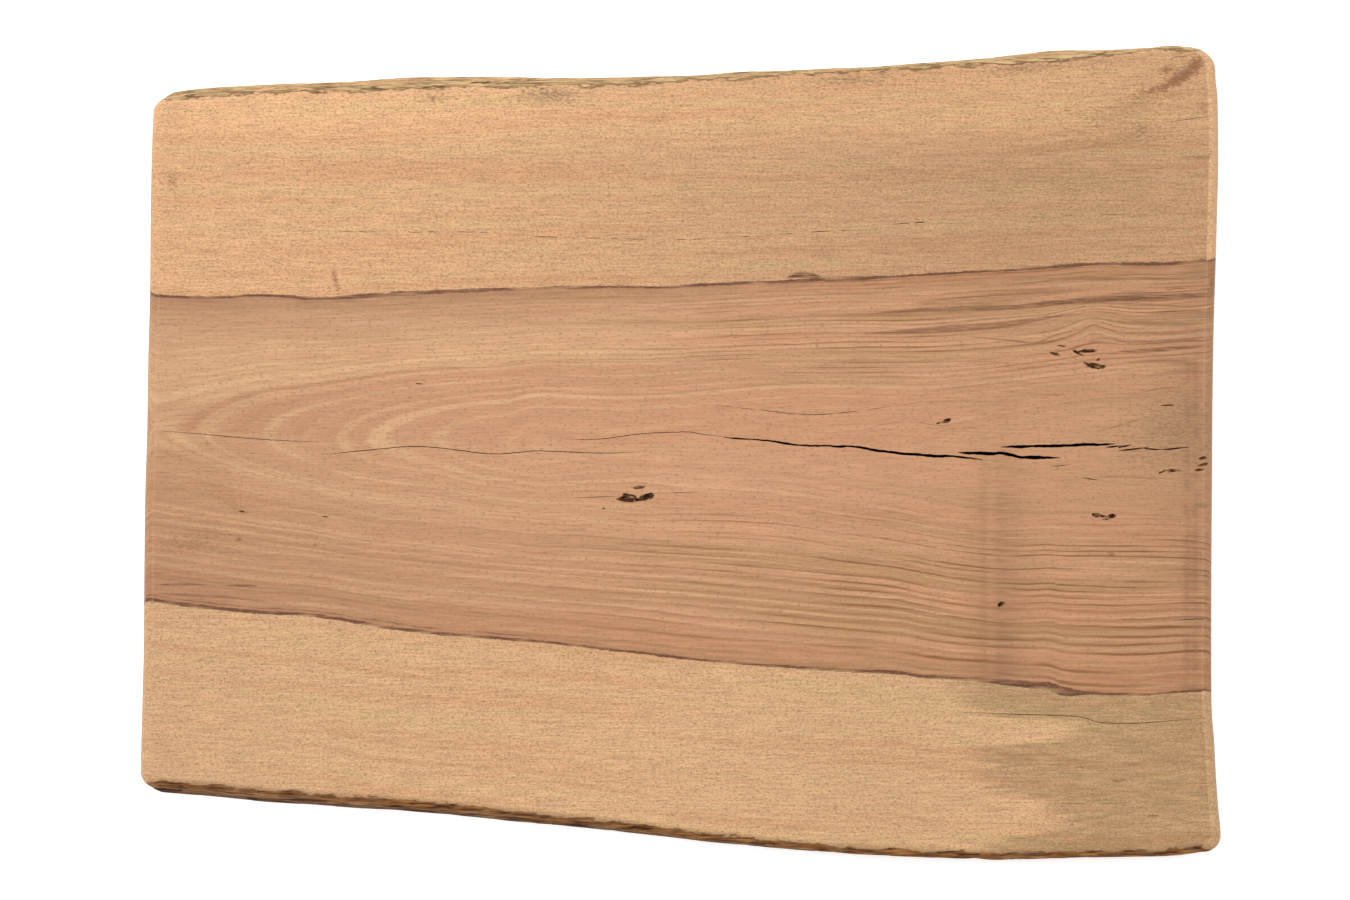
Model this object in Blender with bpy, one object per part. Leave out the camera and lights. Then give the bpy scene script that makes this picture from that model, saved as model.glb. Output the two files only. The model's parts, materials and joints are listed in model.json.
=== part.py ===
"""A mango wood tabletop, sawn in one plank through the middle of a trunk. Metres, +Z up.

+X runs along the grain, +Y across it, and the underside lies on Z = 0. The long edges are
the trunk's own surface, left as it grew. The ends are sawn, and rounded by sanding."""

import math

import bmesh
import bpy
from mathutils import Vector, noise

MM = 0.001

# Driving dimensions of the plank
LENGTH = 1.200
WIDTH = 0.9106
THICKNESS = 0.050

# Rounding of the sawn ends at their upper and lower edge
END_ROUND = 0.013
END_EASE = 0.006

# Rounding of the live edges at their upper and lower edge
LIVE_ROUND = 0.006
LIVE_EASE = 0.004

# Corners of the plan: side of X, side of Y, and radius
CORNERS = ((1, 1, 0.026), (-1, 1, 0.016), (-1, -1, 0.022), (1, -1, 0.016))
SMALLEST_CORNER = 0.005

# Widest line of each long edge, as X and Y in millimetres
UPPER_EDGE = (
    (-582, 401.1), (-532, 409.1), (-469, 412.4), (-368, 416.5), (-306, 419.9), (-226, 420.7),
    (-108, 419.9), (-20, 421.9), (80, 426.7), (189, 431.7), (264, 435.7), (340, 441.3),
    (390, 447.6), (415, 450.3), (483, 451.9), (548, 455.2), (577, 453.4),
)
LOWER_EDGE = (
    (-585, -384.2), (-519, -390.0), (-444, -396.3), (-368, -402.1), (-293, -407.2),
    (-226, -413.0), (-171, -418.6), (-95, -425.6), (31, -439.8), (140, -449.9), (215, -453.2),
    (277, -455.2), (350, -455.3), (434, -451.0), (491, -450.1), (541, -448.9), (578, -443.6),
)

# Widest line of each sawn end, as Y and X in millimetres
LEFT_END = (
    (-338, -599.8), (-271, -598.0), (-224, -596.8), (-125, -596.0), (-51, -595.1), (24, -592.9),
    (97, -591.8), (172, -589.8), (271, -588.9), (344, -587.3), (378, -585.7),
)
RIGHT_END = (
    (-421, 599.5), (-394, 596.7), (-358, 594.1), (-320, 592.2), (-295, 590.0), (-265, 589.2),
    (-125, 589.3), (-25, 590.0), (47, 590.4), (135, 591.7), (213, 594.1), (258, 595.3),
    (320, 596.7), (393, 596.0), (412, 593.8),
)

# How far the flat top stops short of each long edge's widest line, as X and inset in millimetres
UPPER_INSET = (
    (-600, 18), (-430, 19), (-300, 20.5), (-225, 20), (-100, 17.5), (80, 16), (250, 14.5),
    (340, 15), (415, 20), (483, 16), (560, 13),
)
LOWER_INSET = (
    (-600, 20), (-400, 19.5), (-226, 18.5), (-95, 17.2), (80, 15.3), (215, 12.8), (310, 11),
    (364, 9), (434, 6.8), (600, 6.5),
)

# Steps along one corner, one sawn end and one long edge
CORNER_STEPS = 7
END_STEPS = 26
LIVE_STEPS = 112

# Levels of the edge's profile: the lower rounding, the flank and the upper rounding, each with
# the share of its way up
EASE_STEPS = 2
FLANK_STEPS = 8
ROUND_STEPS = 3
LEVELS = (
    [("ease", step / EASE_STEPS) for step in range(EASE_STEPS + 1)]
    + [("flank", step / FLANK_STEPS) for step in range(1, FLANK_STEPS)]
    + [("round", step / ROUND_STEPS) for step in range(ROUND_STEPS + 1)]
)

# Wear of the live edges, where the bark came off: broad lumps, and furrows along the grain
LUMP_DEPTH = 0.0035
LUMP_LENGTH = 0.095
LUMP_HEIGHT = 0.034
FURROW_DEPTH = 0.0026
FURROW_LENGTH = 0.21
FURROW_HEIGHT = 0.013
UPPER_SEED = 3.7
LOWER_SEED = 11.2

# Open cracks in the top along the centre of the trunk: depth, then X, Y and width in millimetres
# along the middle line
CRACKS = {
    "crack_long": (0.017, (
        (47, 16.0, 0.6), (63, 14.2, 1.7), (78, 13.4, 1.2), (99, 11.7, 1.9), (118, 8.6, 2.2),
        (129, 7.4, 1.6), (145, 6.3, 2.0), (163, 6.4, 1.8), (173, 5.3, 2.6), (185, 5.8, 1.9),
        (199, 4.5, 2.2), (215, 1.4, 2.7), (231, -0.4, 2.2), (244, -2.4, 2.8), (266, -3.7, 2.4),
        (283, -5.3, 3.0), (300, -5.2, 2.2), (312, -6.6, 2.4), (323, -7.6, 1.6), (334, -9.4, 0.6),
    )),
    "crack_middle": (0.022, (
        (307, -1.0, 0.6), (315, -1.6, 2.4), (330, -1.9, 3.0), (346, -2.4, 3.6), (354, -1.7, 2.6),
        (363, -3.3, 3.4), (376, -6.2, 2.8), (391, -6.4, 3.6), (405, -6.8, 2.6), (420, -7.2, 0.6),
    )),
    "crack_upper": (0.020, (
        (354, 5.0, 0.6), (366, 5.3, 2.4), (379, 5.4, 3.0), (392, 6.0, 2.4), (405, 6.1, 3.0),
        (430, 6.6, 2.6), (450, 7.9, 3.1), (462, 7.5, 2.4), (474, 8.1, 1.8), (481, 8.5, 0.5),
    )),
    "slit_near": (0.008, (
        (486, 1.2, 0.4), (495, 1.9, 1.4), (506, 3.3, 1.1), (516, 4.1, 0.4),
    )),
    "slit_far": (0.008, (
        (532, 2.2, 0.4), (541, 2.7, 1.3), (551, 4.0, 1.2), (559, 4.4, 0.4),
    )),
}
CRACK_RISE = 0.002

# Pits left by knots in the top: X, Y, length, width and depth in millimetres, turn in degrees,
# and fineness of the ball that each is cut with
PITS = {
    "knot_pocket": (-48.5, -51.6, 36, 9.4, 9, -3, 3),
    "knot_lip": (-46.4, -40.4, 13, 3.6, 4, 6, 2),
    "knot_small": (290.6, 33.4, 20, 5.6, 5, 20, 2),
    "knot_oval": (459.4, 94.5, 26, 7.4, 5, 12, 3),
    "knot_torn": (468.7, -71.2, 23, 5.0, 6, -6, 2),
    "knot_hole": (355.5, -169.9, 6.8, 4.6, 7, 35, 2),
    "knot_dash": (446.0, 110.6, 16, 2.2, 3, 5, 2),
    "knot_end": (535.0, -22.0, 15, 3.4, 4, 10, 2),
}
PIT_ROUGHNESS = 0.28
PIT_GRAIN = 0.9

WOOD_COLOUR = (0.56, 0.37, 0.21, 1.0)
WOOD_ROUGHNESS = 0.45


def smooth_curve(points, place):
    """Value at a place on a smooth curve through the points, which is level past its ends."""
    if place <= points[0][0]:
        return points[0][1]
    if place >= points[-1][0]:
        return points[-1][1]
    last = len(points) - 1
    start = max(index for index in range(last) if points[index][0] <= place)
    slopes = []
    for index in (start, start + 1):
        before = points[max(index - 1, 0)]
        after = points[min(index + 1, last)]
        slopes.append((after[1] - before[1]) / (after[0] - before[0]))
    (x0, y0), (x1, y1) = points[start], points[start + 1]
    span = x1 - x0
    share = (place - x0) / span
    rest = 1 - share
    return (
        y0 * rest * rest * (1 + 2 * share)
        + y1 * share * share * (3 - 2 * share)
        + slopes[0] * span * share * rest * rest
        - slopes[1] * span * share * share * rest
    )


def ramp(value):
    """Smooth rise from 0 at -0.8 to 1 at 0.8."""
    share = min(max((value + 0.8) / 1.6, 0), 1)
    return share * share * (3 - 2 * share)


def across(x, y):
    """Y of a point of the plain rectangle, once both long edges have their grown line."""
    up = ramp(y / (WIDTH / 2))
    upper = smooth_curve(UPPER_EDGE, x / MM) * MM - WIDTH / 2
    lower = smooth_curve(LOWER_EDGE, x / MM) * MM + WIDTH / 2
    return y + up * upper + (1 - up) * lower


def along(x, y):
    """X of a point of the plain rectangle, once both ends have their sawn line."""
    right = ramp(x / (LENGTH / 2))
    right_shift = smooth_curve(RIGHT_END, y / MM) * MM - LENGTH / 2
    left_shift = smooth_curve(LEFT_END, y / MM) * MM + LENGTH / 2
    return x + right * right_shift + (1 - right) * left_shift


def in_plan(x, y):
    """Place in the plank's true outline of a point of the plain rectangle."""
    true_x = along(x, across(x, y))
    return true_x, across(true_x, y)


def live_inset(x, side):
    """Distance from the widest line of a long edge in to the flat top."""
    table = UPPER_INSET if side > 0 else LOWER_INSET
    return smooth_curve(table, x / MM) * MM


def profile(level, ease, rounding, inset):
    """Distance in from the widest line, and height, of a level of the edge's profile."""
    part, share = level
    if part == "ease":
        turn = share * math.pi / 2
        return ease * (1 - math.sin(turn)), ease * (1 - math.cos(turn))
    lean = math.atan2(inset - rounding, THICKNESS - ease - rounding)
    turn = lean + (math.pi / 2 - lean) * (share if part == "round" else 0)
    top_inset = inset - rounding * math.cos(turn)
    top_height = THICKNESS - rounding + rounding * math.sin(turn)
    if part == "round":
        return top_inset, top_height
    return top_inset * share, ease + (top_height - ease) * share


def wear(x, height, side):
    """Depth that weather and peeling bark took from a live edge."""
    seed = UPPER_SEED if side > 0 else LOWER_SEED
    lump = noise.noise(Vector((x / LUMP_LENGTH, height / LUMP_HEIGHT, seed)))
    furrow = noise.noise(Vector((x / FURROW_LENGTH, height / FURROW_HEIGHT, seed + 5)))
    share = height / THICKNESS
    middle = min(1, 5 * share * (1 - share))
    depth = LUMP_DEPTH * max(0, 0.5 + lump) + FURROW_DEPTH * max(0, 1 - 4 * abs(furrow))
    return depth * middle


def corner_points(level, sign_x, sign_y, radius, end_inset, end_height):
    """Points round one corner at a level, from the sawn end to the long edge."""
    inset = live_inset(sign_x * LENGTH / 2, sign_y)
    side_inset, side_height = profile(level, LIVE_EASE, LIVE_ROUND, inset)
    small = max(radius - (end_inset + side_inset) / 2, SMALLEST_CORNER)
    points = []
    for step in range(CORNER_STEPS + 1):
        turn = step / CORNER_STEPS * math.pi / 2
        share = math.sin(turn) ** 2
        height = end_height + (side_height - end_height) * share
        x = sign_x * (LENGTH / 2 - end_inset - small + small * math.cos(turn))
        y = sign_y * (WIDTH / 2 - side_inset - small + small * math.sin(turn))
        y -= sign_y * share * wear(x, height, sign_y)
        points.append((x, y, height))
    return points


def ring(level):
    """One closed line round the plank at a level of the edge's profile."""
    end_inset, end_height = profile(level, END_EASE, END_ROUND, END_ROUND)
    corners = []
    for sign_x, sign_y, radius in CORNERS:
        points = corner_points(level, sign_x, sign_y, radius, end_inset, end_height)
        corners.append(points if sign_x == sign_y else points[::-1])
    plain = []
    for index, corner in enumerate(corners):
        plain += corner
        first, last = corner[-1], corners[(index + 1) % len(corners)][0]
        along_grain = index % 2 == 0
        steps = LIVE_STEPS if along_grain else END_STEPS
        for step in range(1, steps):
            x = first[0] + (last[0] - first[0]) * step / steps
            y = first[1] + (last[1] - first[1]) * step / steps
            height = end_height
            if along_grain:
                side = math.copysign(1, y)
                inset, height = profile(level, LIVE_EASE, LIVE_ROUND, live_inset(x, side))
                y = side * (WIDTH / 2 - inset - wear(x, height, side))
            plain.append((x, y, height))
    return [(*in_plan(x, y), height) for x, y, height in plain]


def add_object(name, bm, collection):
    """A new object that holds a finished mesh."""
    mesh = bpy.data.meshes.new(name)
    bm.to_mesh(mesh)
    bm.free()
    piece = bpy.data.objects.new(name, mesh)
    collection.objects.link(piece)
    return piece


def plank(name, collection):
    """The plank with its edges, as a loft through the rings of its profile."""
    bm = bmesh.new()
    rings = [[bm.verts.new(point) for point in ring(level)] for level in LEVELS]
    count = len(rings[0])
    for low, high in zip(rings, rings[1:]):
        for index in range(count):
            after = (index + 1) % count
            bm.faces.new((low[index], low[after], high[after], high[index]))
    bm.faces.new(reversed(rings[0]))
    bm.faces.new(rings[-1])
    return add_object(name, bm, collection)


def middle_of(piece):
    """Middle of a piece's box, in plan."""
    xs = [vertex.co.x for vertex in piece.data.vertices]
    ys = [vertex.co.y for vertex in piece.data.vertices]
    return Vector(((min(xs) + max(xs)) / 2, (min(ys) + max(ys)) / 2, 0))


def crack_cutter(name, depth, line, collection):
    """A ragged wedge that stands point down along the crack's middle line."""
    bm = bmesh.new()
    widest = max(width for _, _, width in line)
    sections = []
    for x, y, width in line:
        half = width * MM / 2
        reach = depth * (0.35 + 0.65 * width / widest)
        top = THICKNESS + CRACK_RISE
        sections.append([
            bm.verts.new((x * MM, y * MM + half, top)),
            bm.verts.new((x * MM, y * MM - half, top)),
            bm.verts.new((x * MM, y * MM, THICKNESS - reach)),
        ])
    for start, end in zip(sections, sections[1:]):
        for index in range(3):
            after = (index + 1) % 3
            bm.faces.new((start[index], start[after], end[after], end[index]))
    bm.faces.new(reversed(sections[0]))
    bm.faces.new(sections[-1])
    bmesh.ops.recalc_face_normals(bm, faces=bm.faces)
    return add_object(name, bm, collection)


def pit_cutter(name, pit, collection):
    """A rough ball, flattened and drawn out along the grain, with its middle in the top."""
    x, y, length, width, depth, turn, fineness = pit
    bm = bmesh.new()
    bmesh.ops.create_icosphere(bm, subdivisions=fineness, radius=1)
    for vertex in bm.verts:
        uneven = noise.noise(vertex.co / PIT_GRAIN + Vector((x, y, 0)))
        vertex.co *= 1 + PIT_ROUGHNESS * uneven
        vertex.co *= MM
        vertex.co.x *= length / 2
        vertex.co.y *= width / 2
        vertex.co.z *= depth
    piece = add_object(name, bm, collection)
    piece.location = (x * MM, y * MM, THICKNESS)
    piece.rotation_euler.z = math.radians(turn)
    return piece


def cut(piece, cutter):
    """Takes a cutter's form out of a piece."""
    cutter.hide_render = True
    cutter.display_type = "WIRE"
    modifier = piece.modifiers.new(cutter.name, "BOOLEAN")
    modifier.operation = "DIFFERENCE"
    modifier.solver = "EXACT"
    modifier.object = cutter


def mango_wood():
    """Oiled mango wood, warm brown and half matt."""
    material = bpy.data.materials.new("mango_wood")
    material.use_nodes = True
    shader = material.node_tree.nodes["Principled BSDF"]
    shader.inputs["Base Color"].default_value = WOOD_COLOUR
    shader.inputs["Roughness"].default_value = WOOD_ROUGHNESS
    shader.inputs["Metallic"].default_value = 0.0
    return material


for old in list(bpy.data.objects):
    bpy.data.objects.remove(old, do_unlink=True)

parts = bpy.data.collections.new("mango_wood_tabletop")
cutters = bpy.data.collections.new("cutters")
for collection in (parts, cutters):
    bpy.context.scene.collection.children.link(collection)

tabletop = plank("tabletop", parts)
tabletop.data.materials.append(mango_wood())
for polygon in tabletop.data.polygons:
    polygon.use_smooth = polygon.loop_total == 4

# The origin lies under the middle of the plank's box
middle = middle_of(tabletop)
for vertex in tabletop.data.vertices:
    vertex.co -= middle

for crack_name, (crack_depth, crack_line) in CRACKS.items():
    cut(tabletop, crack_cutter(crack_name, crack_depth, crack_line, cutters))
for pit_name, pit_values in PITS.items():
    cut(tabletop, pit_cutter(pit_name, pit_values, cutters))
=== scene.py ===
"""Looks of a mango wood tabletop: one plank with grown long edges, sawn ends and open cracks.

Metres, +Z up. +X runs along the grain, +Y across it, and the underside lies on Z = 0."""

import json
import math

import bmesh
import bpy
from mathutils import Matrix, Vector, noise

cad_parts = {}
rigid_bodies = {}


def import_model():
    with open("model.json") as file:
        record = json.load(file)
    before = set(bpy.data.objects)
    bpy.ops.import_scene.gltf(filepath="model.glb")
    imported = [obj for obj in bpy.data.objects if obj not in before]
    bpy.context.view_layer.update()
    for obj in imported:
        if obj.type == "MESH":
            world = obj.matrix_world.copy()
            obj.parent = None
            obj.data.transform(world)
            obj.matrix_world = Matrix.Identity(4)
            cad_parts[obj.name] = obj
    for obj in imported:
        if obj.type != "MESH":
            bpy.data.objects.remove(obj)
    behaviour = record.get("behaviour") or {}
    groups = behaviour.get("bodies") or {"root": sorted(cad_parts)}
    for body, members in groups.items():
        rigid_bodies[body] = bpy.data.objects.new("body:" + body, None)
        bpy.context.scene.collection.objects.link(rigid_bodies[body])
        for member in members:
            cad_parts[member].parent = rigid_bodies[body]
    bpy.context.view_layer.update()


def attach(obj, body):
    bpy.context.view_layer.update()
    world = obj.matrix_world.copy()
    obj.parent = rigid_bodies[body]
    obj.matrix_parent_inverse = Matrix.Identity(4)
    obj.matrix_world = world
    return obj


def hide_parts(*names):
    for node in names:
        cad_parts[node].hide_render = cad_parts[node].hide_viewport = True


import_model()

# The plank: one board of mango wood, sawn through the middle of a trunk. Its long edges are the
# trunk's own surface with the bark pulled off, and its ends are sawn across and rounded by
# sanding. It is drawn as by hand: a filled outline, raised level by level up the edge's profile.
MM = 0.001
LENGTH = 1.200
WIDTH = 0.9106
THICKNESS = 0.050
END_ROUND = 0.013
END_EASE = 0.006
LIVE_ROUND = 0.009
LIVE_EASE = 0.004

# Corners of the plan: side of X, side of Y, and radius
CORNERS = ((1, 1, 0.030), (-1, 1, 0.020), (-1, -1, 0.020), (1, -1, 0.018))
SMALLEST_CORNER = 0.016

# Widest line of each long edge, as X and Y in millimetres
UPPER_EDGE = (
    (-582, 401.1), (-532, 409.1), (-469, 412.4), (-368, 416.5), (-306, 419.9), (-226, 420.7),
    (-108, 419.9), (-20, 421.9), (80, 426.7), (189, 431.7), (264, 435.7), (340, 441.3),
    (390, 447.6), (415, 450.3), (483, 451.9), (548, 455.2), (577, 453.4),
)
LOWER_EDGE = (
    (-585, -384.2), (-519, -390.0), (-444, -396.3), (-368, -402.1), (-293, -407.2),
    (-226, -413.0), (-171, -418.6), (-95, -425.6), (31, -439.8), (140, -449.9), (215, -453.2),
    (277, -455.2), (350, -455.3), (434, -451.0), (491, -450.1), (541, -448.9), (578, -443.6),
)

# Widest line of each sawn end, as Y and X in millimetres
LEFT_END = (
    (-338, -599.8), (-271, -598.0), (-224, -596.8), (-125, -596.0), (-51, -595.1), (24, -592.9),
    (97, -591.8), (172, -589.8), (271, -588.9), (344, -587.3), (378, -585.7),
)
RIGHT_END = (
    (-421, 599.5), (-394, 596.7), (-358, 594.1), (-320, 592.2), (-295, 590.0), (-265, 589.2),
    (-125, 589.3), (-25, 590.0), (47, 590.4), (135, 591.7), (213, 594.1), (258, 595.3),
    (320, 596.7), (393, 596.0), (412, 593.8),
)

# How far the flat top stops short of each long edge's widest line, as X and inset in millimetres
UPPER_INSET = (
    (-600, 18), (-430, 19), (-300, 20.5), (-225, 20), (-100, 17.5), (80, 16), (250, 14.5),
    (340, 15), (415, 20), (483, 16), (560, 13),
)
LOWER_INSET = (
    (-600, 20), (-400, 19.5), (-226, 18.5), (-95, 17.2), (80, 15.3), (215, 12.8), (310, 11),
    (364, 9), (434, 6.8), (600, 6.5),
)

# Steps along one corner, one sawn end and one long edge, and up the edge's profile
CORNER_STEPS = 14
END_STEPS = 110
LIVE_STEPS = 560
EASE_STEPS = 4
FLANK_STEPS = 34
ROUND_STEPS = 8
LEVELS = (
    [("ease", step / EASE_STEPS) for step in range(EASE_STEPS + 1)]
    + [("flank", step / FLANK_STEPS) for step in range(1, FLANK_STEPS)]
    + [("round", step / ROUND_STEPS) for step in range(ROUND_STEPS + 1)]
)

# Wear of the live edges: broad lumps and furrows, and fissures in what is left of the inner bark
LUMP_DEPTH = 0.0035
LUMP_LENGTH = 0.095
LUMP_HEIGHT = 0.034
FURROW_DEPTH = 0.0026
FURROW_LENGTH = 0.21
FURROW_HEIGHT = 0.013
UPPER_SEED = 3.7
LOWER_SEED = 11.2
FISSURE_DEPTH = 0.0022
FISSURE_LENGTH = 0.090
FISSURE_SPACING = 0.010
FISSURE_WIDTH = 0.20
FISSURE_STOP_LENGTH = 0.034
FISSURE_STOP_HEIGHT = 0.009
WANDER_LENGTH = 0.022
WANDER_HEIGHT = 0.016
WANDER = 0.08
FLAKE_DEPTH = 0.0008
FLAKE_LENGTH = 0.050
FLAKE_HEIGHT = 0.010
FLAKE_WANDER = 0.006

# Border inside the flat faces, share of the bark that reaches the rim, and sharpest smooth edge
RIM_INSET = 0.006
RIM_SHARE = 0.4
SMOOTH_UP_TO = math.radians(38)

# How far from the plank's middle line, as a share of its half, one side's shift gives way
BLEND = 0.8


def smooth_curve(points, place):
    """Value at a place on a smooth curve through the points, which is level past its ends."""
    if place <= points[0][0]:
        return points[0][1]
    if place >= points[-1][0]:
        return points[-1][1]
    last = len(points) - 1
    start = max(index for index in range(last) if points[index][0] <= place)
    slopes = []
    for index in (start, start + 1):
        before = points[max(index - 1, 0)]
        after = points[min(index + 1, last)]
        slopes.append((after[1] - before[1]) / (after[0] - before[0]))
    (x0, y0), (x1, y1) = points[start], points[start + 1]
    span = x1 - x0
    share = (place - x0) / span
    rest = 1 - share
    return (
        y0 * rest * rest * (1 + 2 * share)
        + y1 * share * share * (3 - 2 * share)
        + slopes[0] * span * share * rest * rest
        - slopes[1] * span * share * share * rest
    )


def ramp(value):
    """Smooth rise from 0 at -BLEND to 1 at BLEND."""
    share = min(max((value + BLEND) / (2 * BLEND), 0), 1)
    return share * share * (3 - 2 * share)


def across(x, y):
    """Y of a point of the plain rectangle, once both long edges have their grown line."""
    up = ramp(y / (WIDTH / 2))
    upper = smooth_curve(UPPER_EDGE, x / MM) * MM - WIDTH / 2
    lower = smooth_curve(LOWER_EDGE, x / MM) * MM + WIDTH / 2
    return y + up * upper + (1 - up) * lower


def along(x, y):
    """X of a point of the plain rectangle, once both ends have their sawn line."""
    right = ramp(x / (LENGTH / 2))
    right_shift = smooth_curve(RIGHT_END, y / MM) * MM - LENGTH / 2
    left_shift = smooth_curve(LEFT_END, y / MM) * MM + LENGTH / 2
    return x + right * right_shift + (1 - right) * left_shift


def in_plan(x, y):
    """Place in the plank's true outline of a point of the plain rectangle."""
    true_x = along(x, across(x, y))
    return true_x, across(true_x, y)


def live_inset(x, side):
    """Distance from the widest line of a long edge in to the flat top."""
    table = UPPER_INSET if side > 0 else LOWER_INSET
    return smooth_curve(table, x / MM) * MM


def profile(level, ease, rounding, inset):
    """Distance in from the widest line, and height, of a level of the edge's profile."""
    part, share = level
    if part == "ease":
        turn = share * math.pi / 2
        return ease * (1 - math.sin(turn)), ease * (1 - math.cos(turn))
    lean = math.atan2(inset - rounding, THICKNESS - ease - rounding)
    turn = lean + (math.pi / 2 - lean) * (share if part == "round" else 0)
    top_inset = inset - rounding * math.cos(turn)
    top_height = THICKNESS - rounding + rounding * math.sin(turn)
    if part == "round":
        return top_inset, top_height
    return top_inset * share, ease + (top_height - ease) * share


def wear(x, height, side):
    """Depth that weather and peeling bark took from a live edge, and the fissures' share."""
    seed = UPPER_SEED if side > 0 else LOWER_SEED
    lump = noise.noise(Vector((x / LUMP_LENGTH, height / LUMP_HEIGHT, seed)))
    furrow = noise.noise(Vector((x / FURROW_LENGTH, height / FURROW_HEIGHT, seed + 5)))
    share = height / THICKNESS
    middle = min(1, 5 * share * (1 - share))
    depth = LUMP_DEPTH * max(0, 0.5 + lump) + FURROW_DEPTH * max(0, 1 - 4 * abs(furrow))
    wander = noise.noise(Vector((x / WANDER_LENGTH, height / WANDER_HEIGHT, seed + 20))) * WANDER
    line = noise.noise(
        Vector((x / FISSURE_LENGTH, height / FISSURE_SPACING + wander, seed + 9))
    )
    gate = noise.noise(
        Vector((x / FISSURE_STOP_LENGTH, height / FISSURE_STOP_HEIGHT, seed + 14))
    )
    fissure = max(0, 1 - abs(line) / FISSURE_WIDTH) * min(max((gate + 0.26) / 0.14, 0), 1)
    flake = noise.noise(
        Vector((x / FLAKE_LENGTH, (height + wander * FLAKE_WANDER) / FLAKE_HEIGHT, seed + 31))
    )
    peeled = min(max((flake + 0.05) / 0.04, 0), 1)
    depth += FISSURE_DEPTH * fissure + FLAKE_DEPTH * peeled
    return depth * middle, fissure * middle, peeled * middle


def corner_points(level, sign_x, sign_y, radius, end_inset, end_height):
    """Points round one corner at a level, from the sawn end to the long edge."""
    inset = live_inset(sign_x * LENGTH / 2, sign_y)
    side_inset, side_height = profile(level, LIVE_EASE, LIVE_ROUND, inset)
    small = max(radius - (end_inset + side_inset) / 2, SMALLEST_CORNER)
    points = []
    for step in range(CORNER_STEPS + 1):
        turn = step / CORNER_STEPS * math.pi / 2
        share = math.sin(turn) ** 2
        height = end_height + (side_height - end_height) * share
        x = sign_x * (LENGTH / 2 - end_inset - small + small * math.cos(turn))
        y = sign_y * (WIDTH / 2 - side_inset - small + small * math.sin(turn))
        depth, fissure, peeled = wear(x, height, sign_y)
        y -= sign_y * share * depth
        points.append((x, y, height, share ** 3, fissure * share, peeled * share))
    return points


def outline_at(level):
    """One closed line round the plank at a level: place, then how live, fissured and peeled."""
    end_inset, end_height = profile(level, END_EASE, END_ROUND, END_ROUND)
    corners = []
    for sign_x, sign_y, radius in CORNERS:
        points = corner_points(level, sign_x, sign_y, radius, end_inset, end_height)
        corners.append(points if sign_x == sign_y else points[::-1])
    plain = []
    for index, corner in enumerate(corners):
        plain += corner
        first, last = corner[-1], corners[(index + 1) % len(corners)][0]
        along_grain = index % 2 == 0
        steps = LIVE_STEPS if along_grain else END_STEPS
        for step in range(1, steps):
            x = first[0] + (last[0] - first[0]) * step / steps
            y = first[1] + (last[1] - first[1]) * step / steps
            height, live, fissure, peeled = end_height, 0, 0, 0
            if along_grain:
                side = math.copysign(1, y)
                inset, height = profile(level, LIVE_EASE, LIVE_ROUND, live_inset(x, side))
                depth, fissure, peeled = wear(x, height, side)
                live = 1
                y = side * (WIDTH / 2 - inset - depth)
            plain.append((x, y, height, live, fissure, peeled))
    return [(*in_plan(x, y), height, *rest) for x, y, height, *rest in plain]


def drawn_out(name, sections, marks=()):
    """A closed solid through sections of equally many points, left in edit mode, with marks."""
    bpy.ops.object.select_all(action="DESELECT")
    bpy.ops.mesh.primitive_circle_add(vertices=len(sections[0]), radius=MM, fill_type="NGON")
    piece = bpy.context.object
    piece.name = name
    turn_of = piece.data.attributes.new("turn", "INT", "POINT")
    for index in range(len(sections[0])):
        turn_of.data[index].value = index
    for mark in marks:
        piece.data.attributes.new(mark, "FLOAT", "POINT")
    bpy.ops.object.mode_set(mode="EDIT")
    bpy.ops.mesh.select_mode(type="FACE")
    bpy.ops.mesh.select_all(action="SELECT")
    for number, section in enumerate(sections):
        if number:
            bpy.ops.mesh.extrude_region_move()
        bm = bmesh.from_edit_mesh(piece.data)
        turn = bm.verts.layers.int["turn"]
        layers = [bm.verts.layers.float[mark] for mark in marks]
        for vertex in bm.verts:
            if vertex.select:
                point = section[vertex[turn]]
                vertex.co = point[:3]
                for layer, value in zip(layers, point[3:]):
                    vertex[layer] = value
        bmesh.update_edit_mesh(piece.data)
    return piece


outlines = [outline_at(level) for level in LEVELS]
xs = [point[0] for line in outlines for point in line]
ys = [point[1] for line in outlines for point in line]
middle = Vector(((min(xs) + max(xs)) / 2, (min(ys) + max(ys)) / 2, 0))
MARKS = ("live", "fissure", "peeled", "rounded")
sections = []
for level, line in zip(LEVELS, outlines):
    below_top = 1 - level[1] if level[0] == "round" else 1
    flank = RIM_SHARE + (1 - RIM_SHARE) * below_top
    sections.append([
        (*(Vector((x, y, height)) - middle), live * flank, fissure, peeled, (1 - live) * below_top)
        for x, y, height, live, fissure, peeled in line
    ])
tabletop = drawn_out("mango_tabletop", sections, MARKS)

# A narrow border inside the flat top and underside keeps their shading flat up to the rounding
for is_top in (True, False):
    bpy.ops.mesh.select_all(action="DESELECT")
    bm = bmesh.from_edit_mesh(tabletop.data)
    for face in bm.faces:
        is_above = face.calc_center_median().z > THICKNESS / 2
        face.select = len(face.verts) > 4 and is_above == is_top
    bmesh.update_edit_mesh(tabletop.data)
    bpy.ops.mesh.inset(thickness=RIM_INSET)
    bm = bmesh.from_edit_mesh(tabletop.data)
    marks = [bm.verts.layers.float[name] for name in MARKS]
    for vertex in bm.verts:
        if vertex.select:
            for mark in marks:
                vertex[mark] = 0
    bmesh.update_edit_mesh(tabletop.data)
bpy.ops.mesh.select_all(action="SELECT")
bpy.ops.mesh.normals_make_consistent(inside=False)
bpy.ops.object.mode_set(mode="OBJECT")
bpy.ops.object.shade_smooth_by_angle(angle=SMOOTH_UP_TO)
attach(tabletop, "root")
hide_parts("tabletop")

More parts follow.
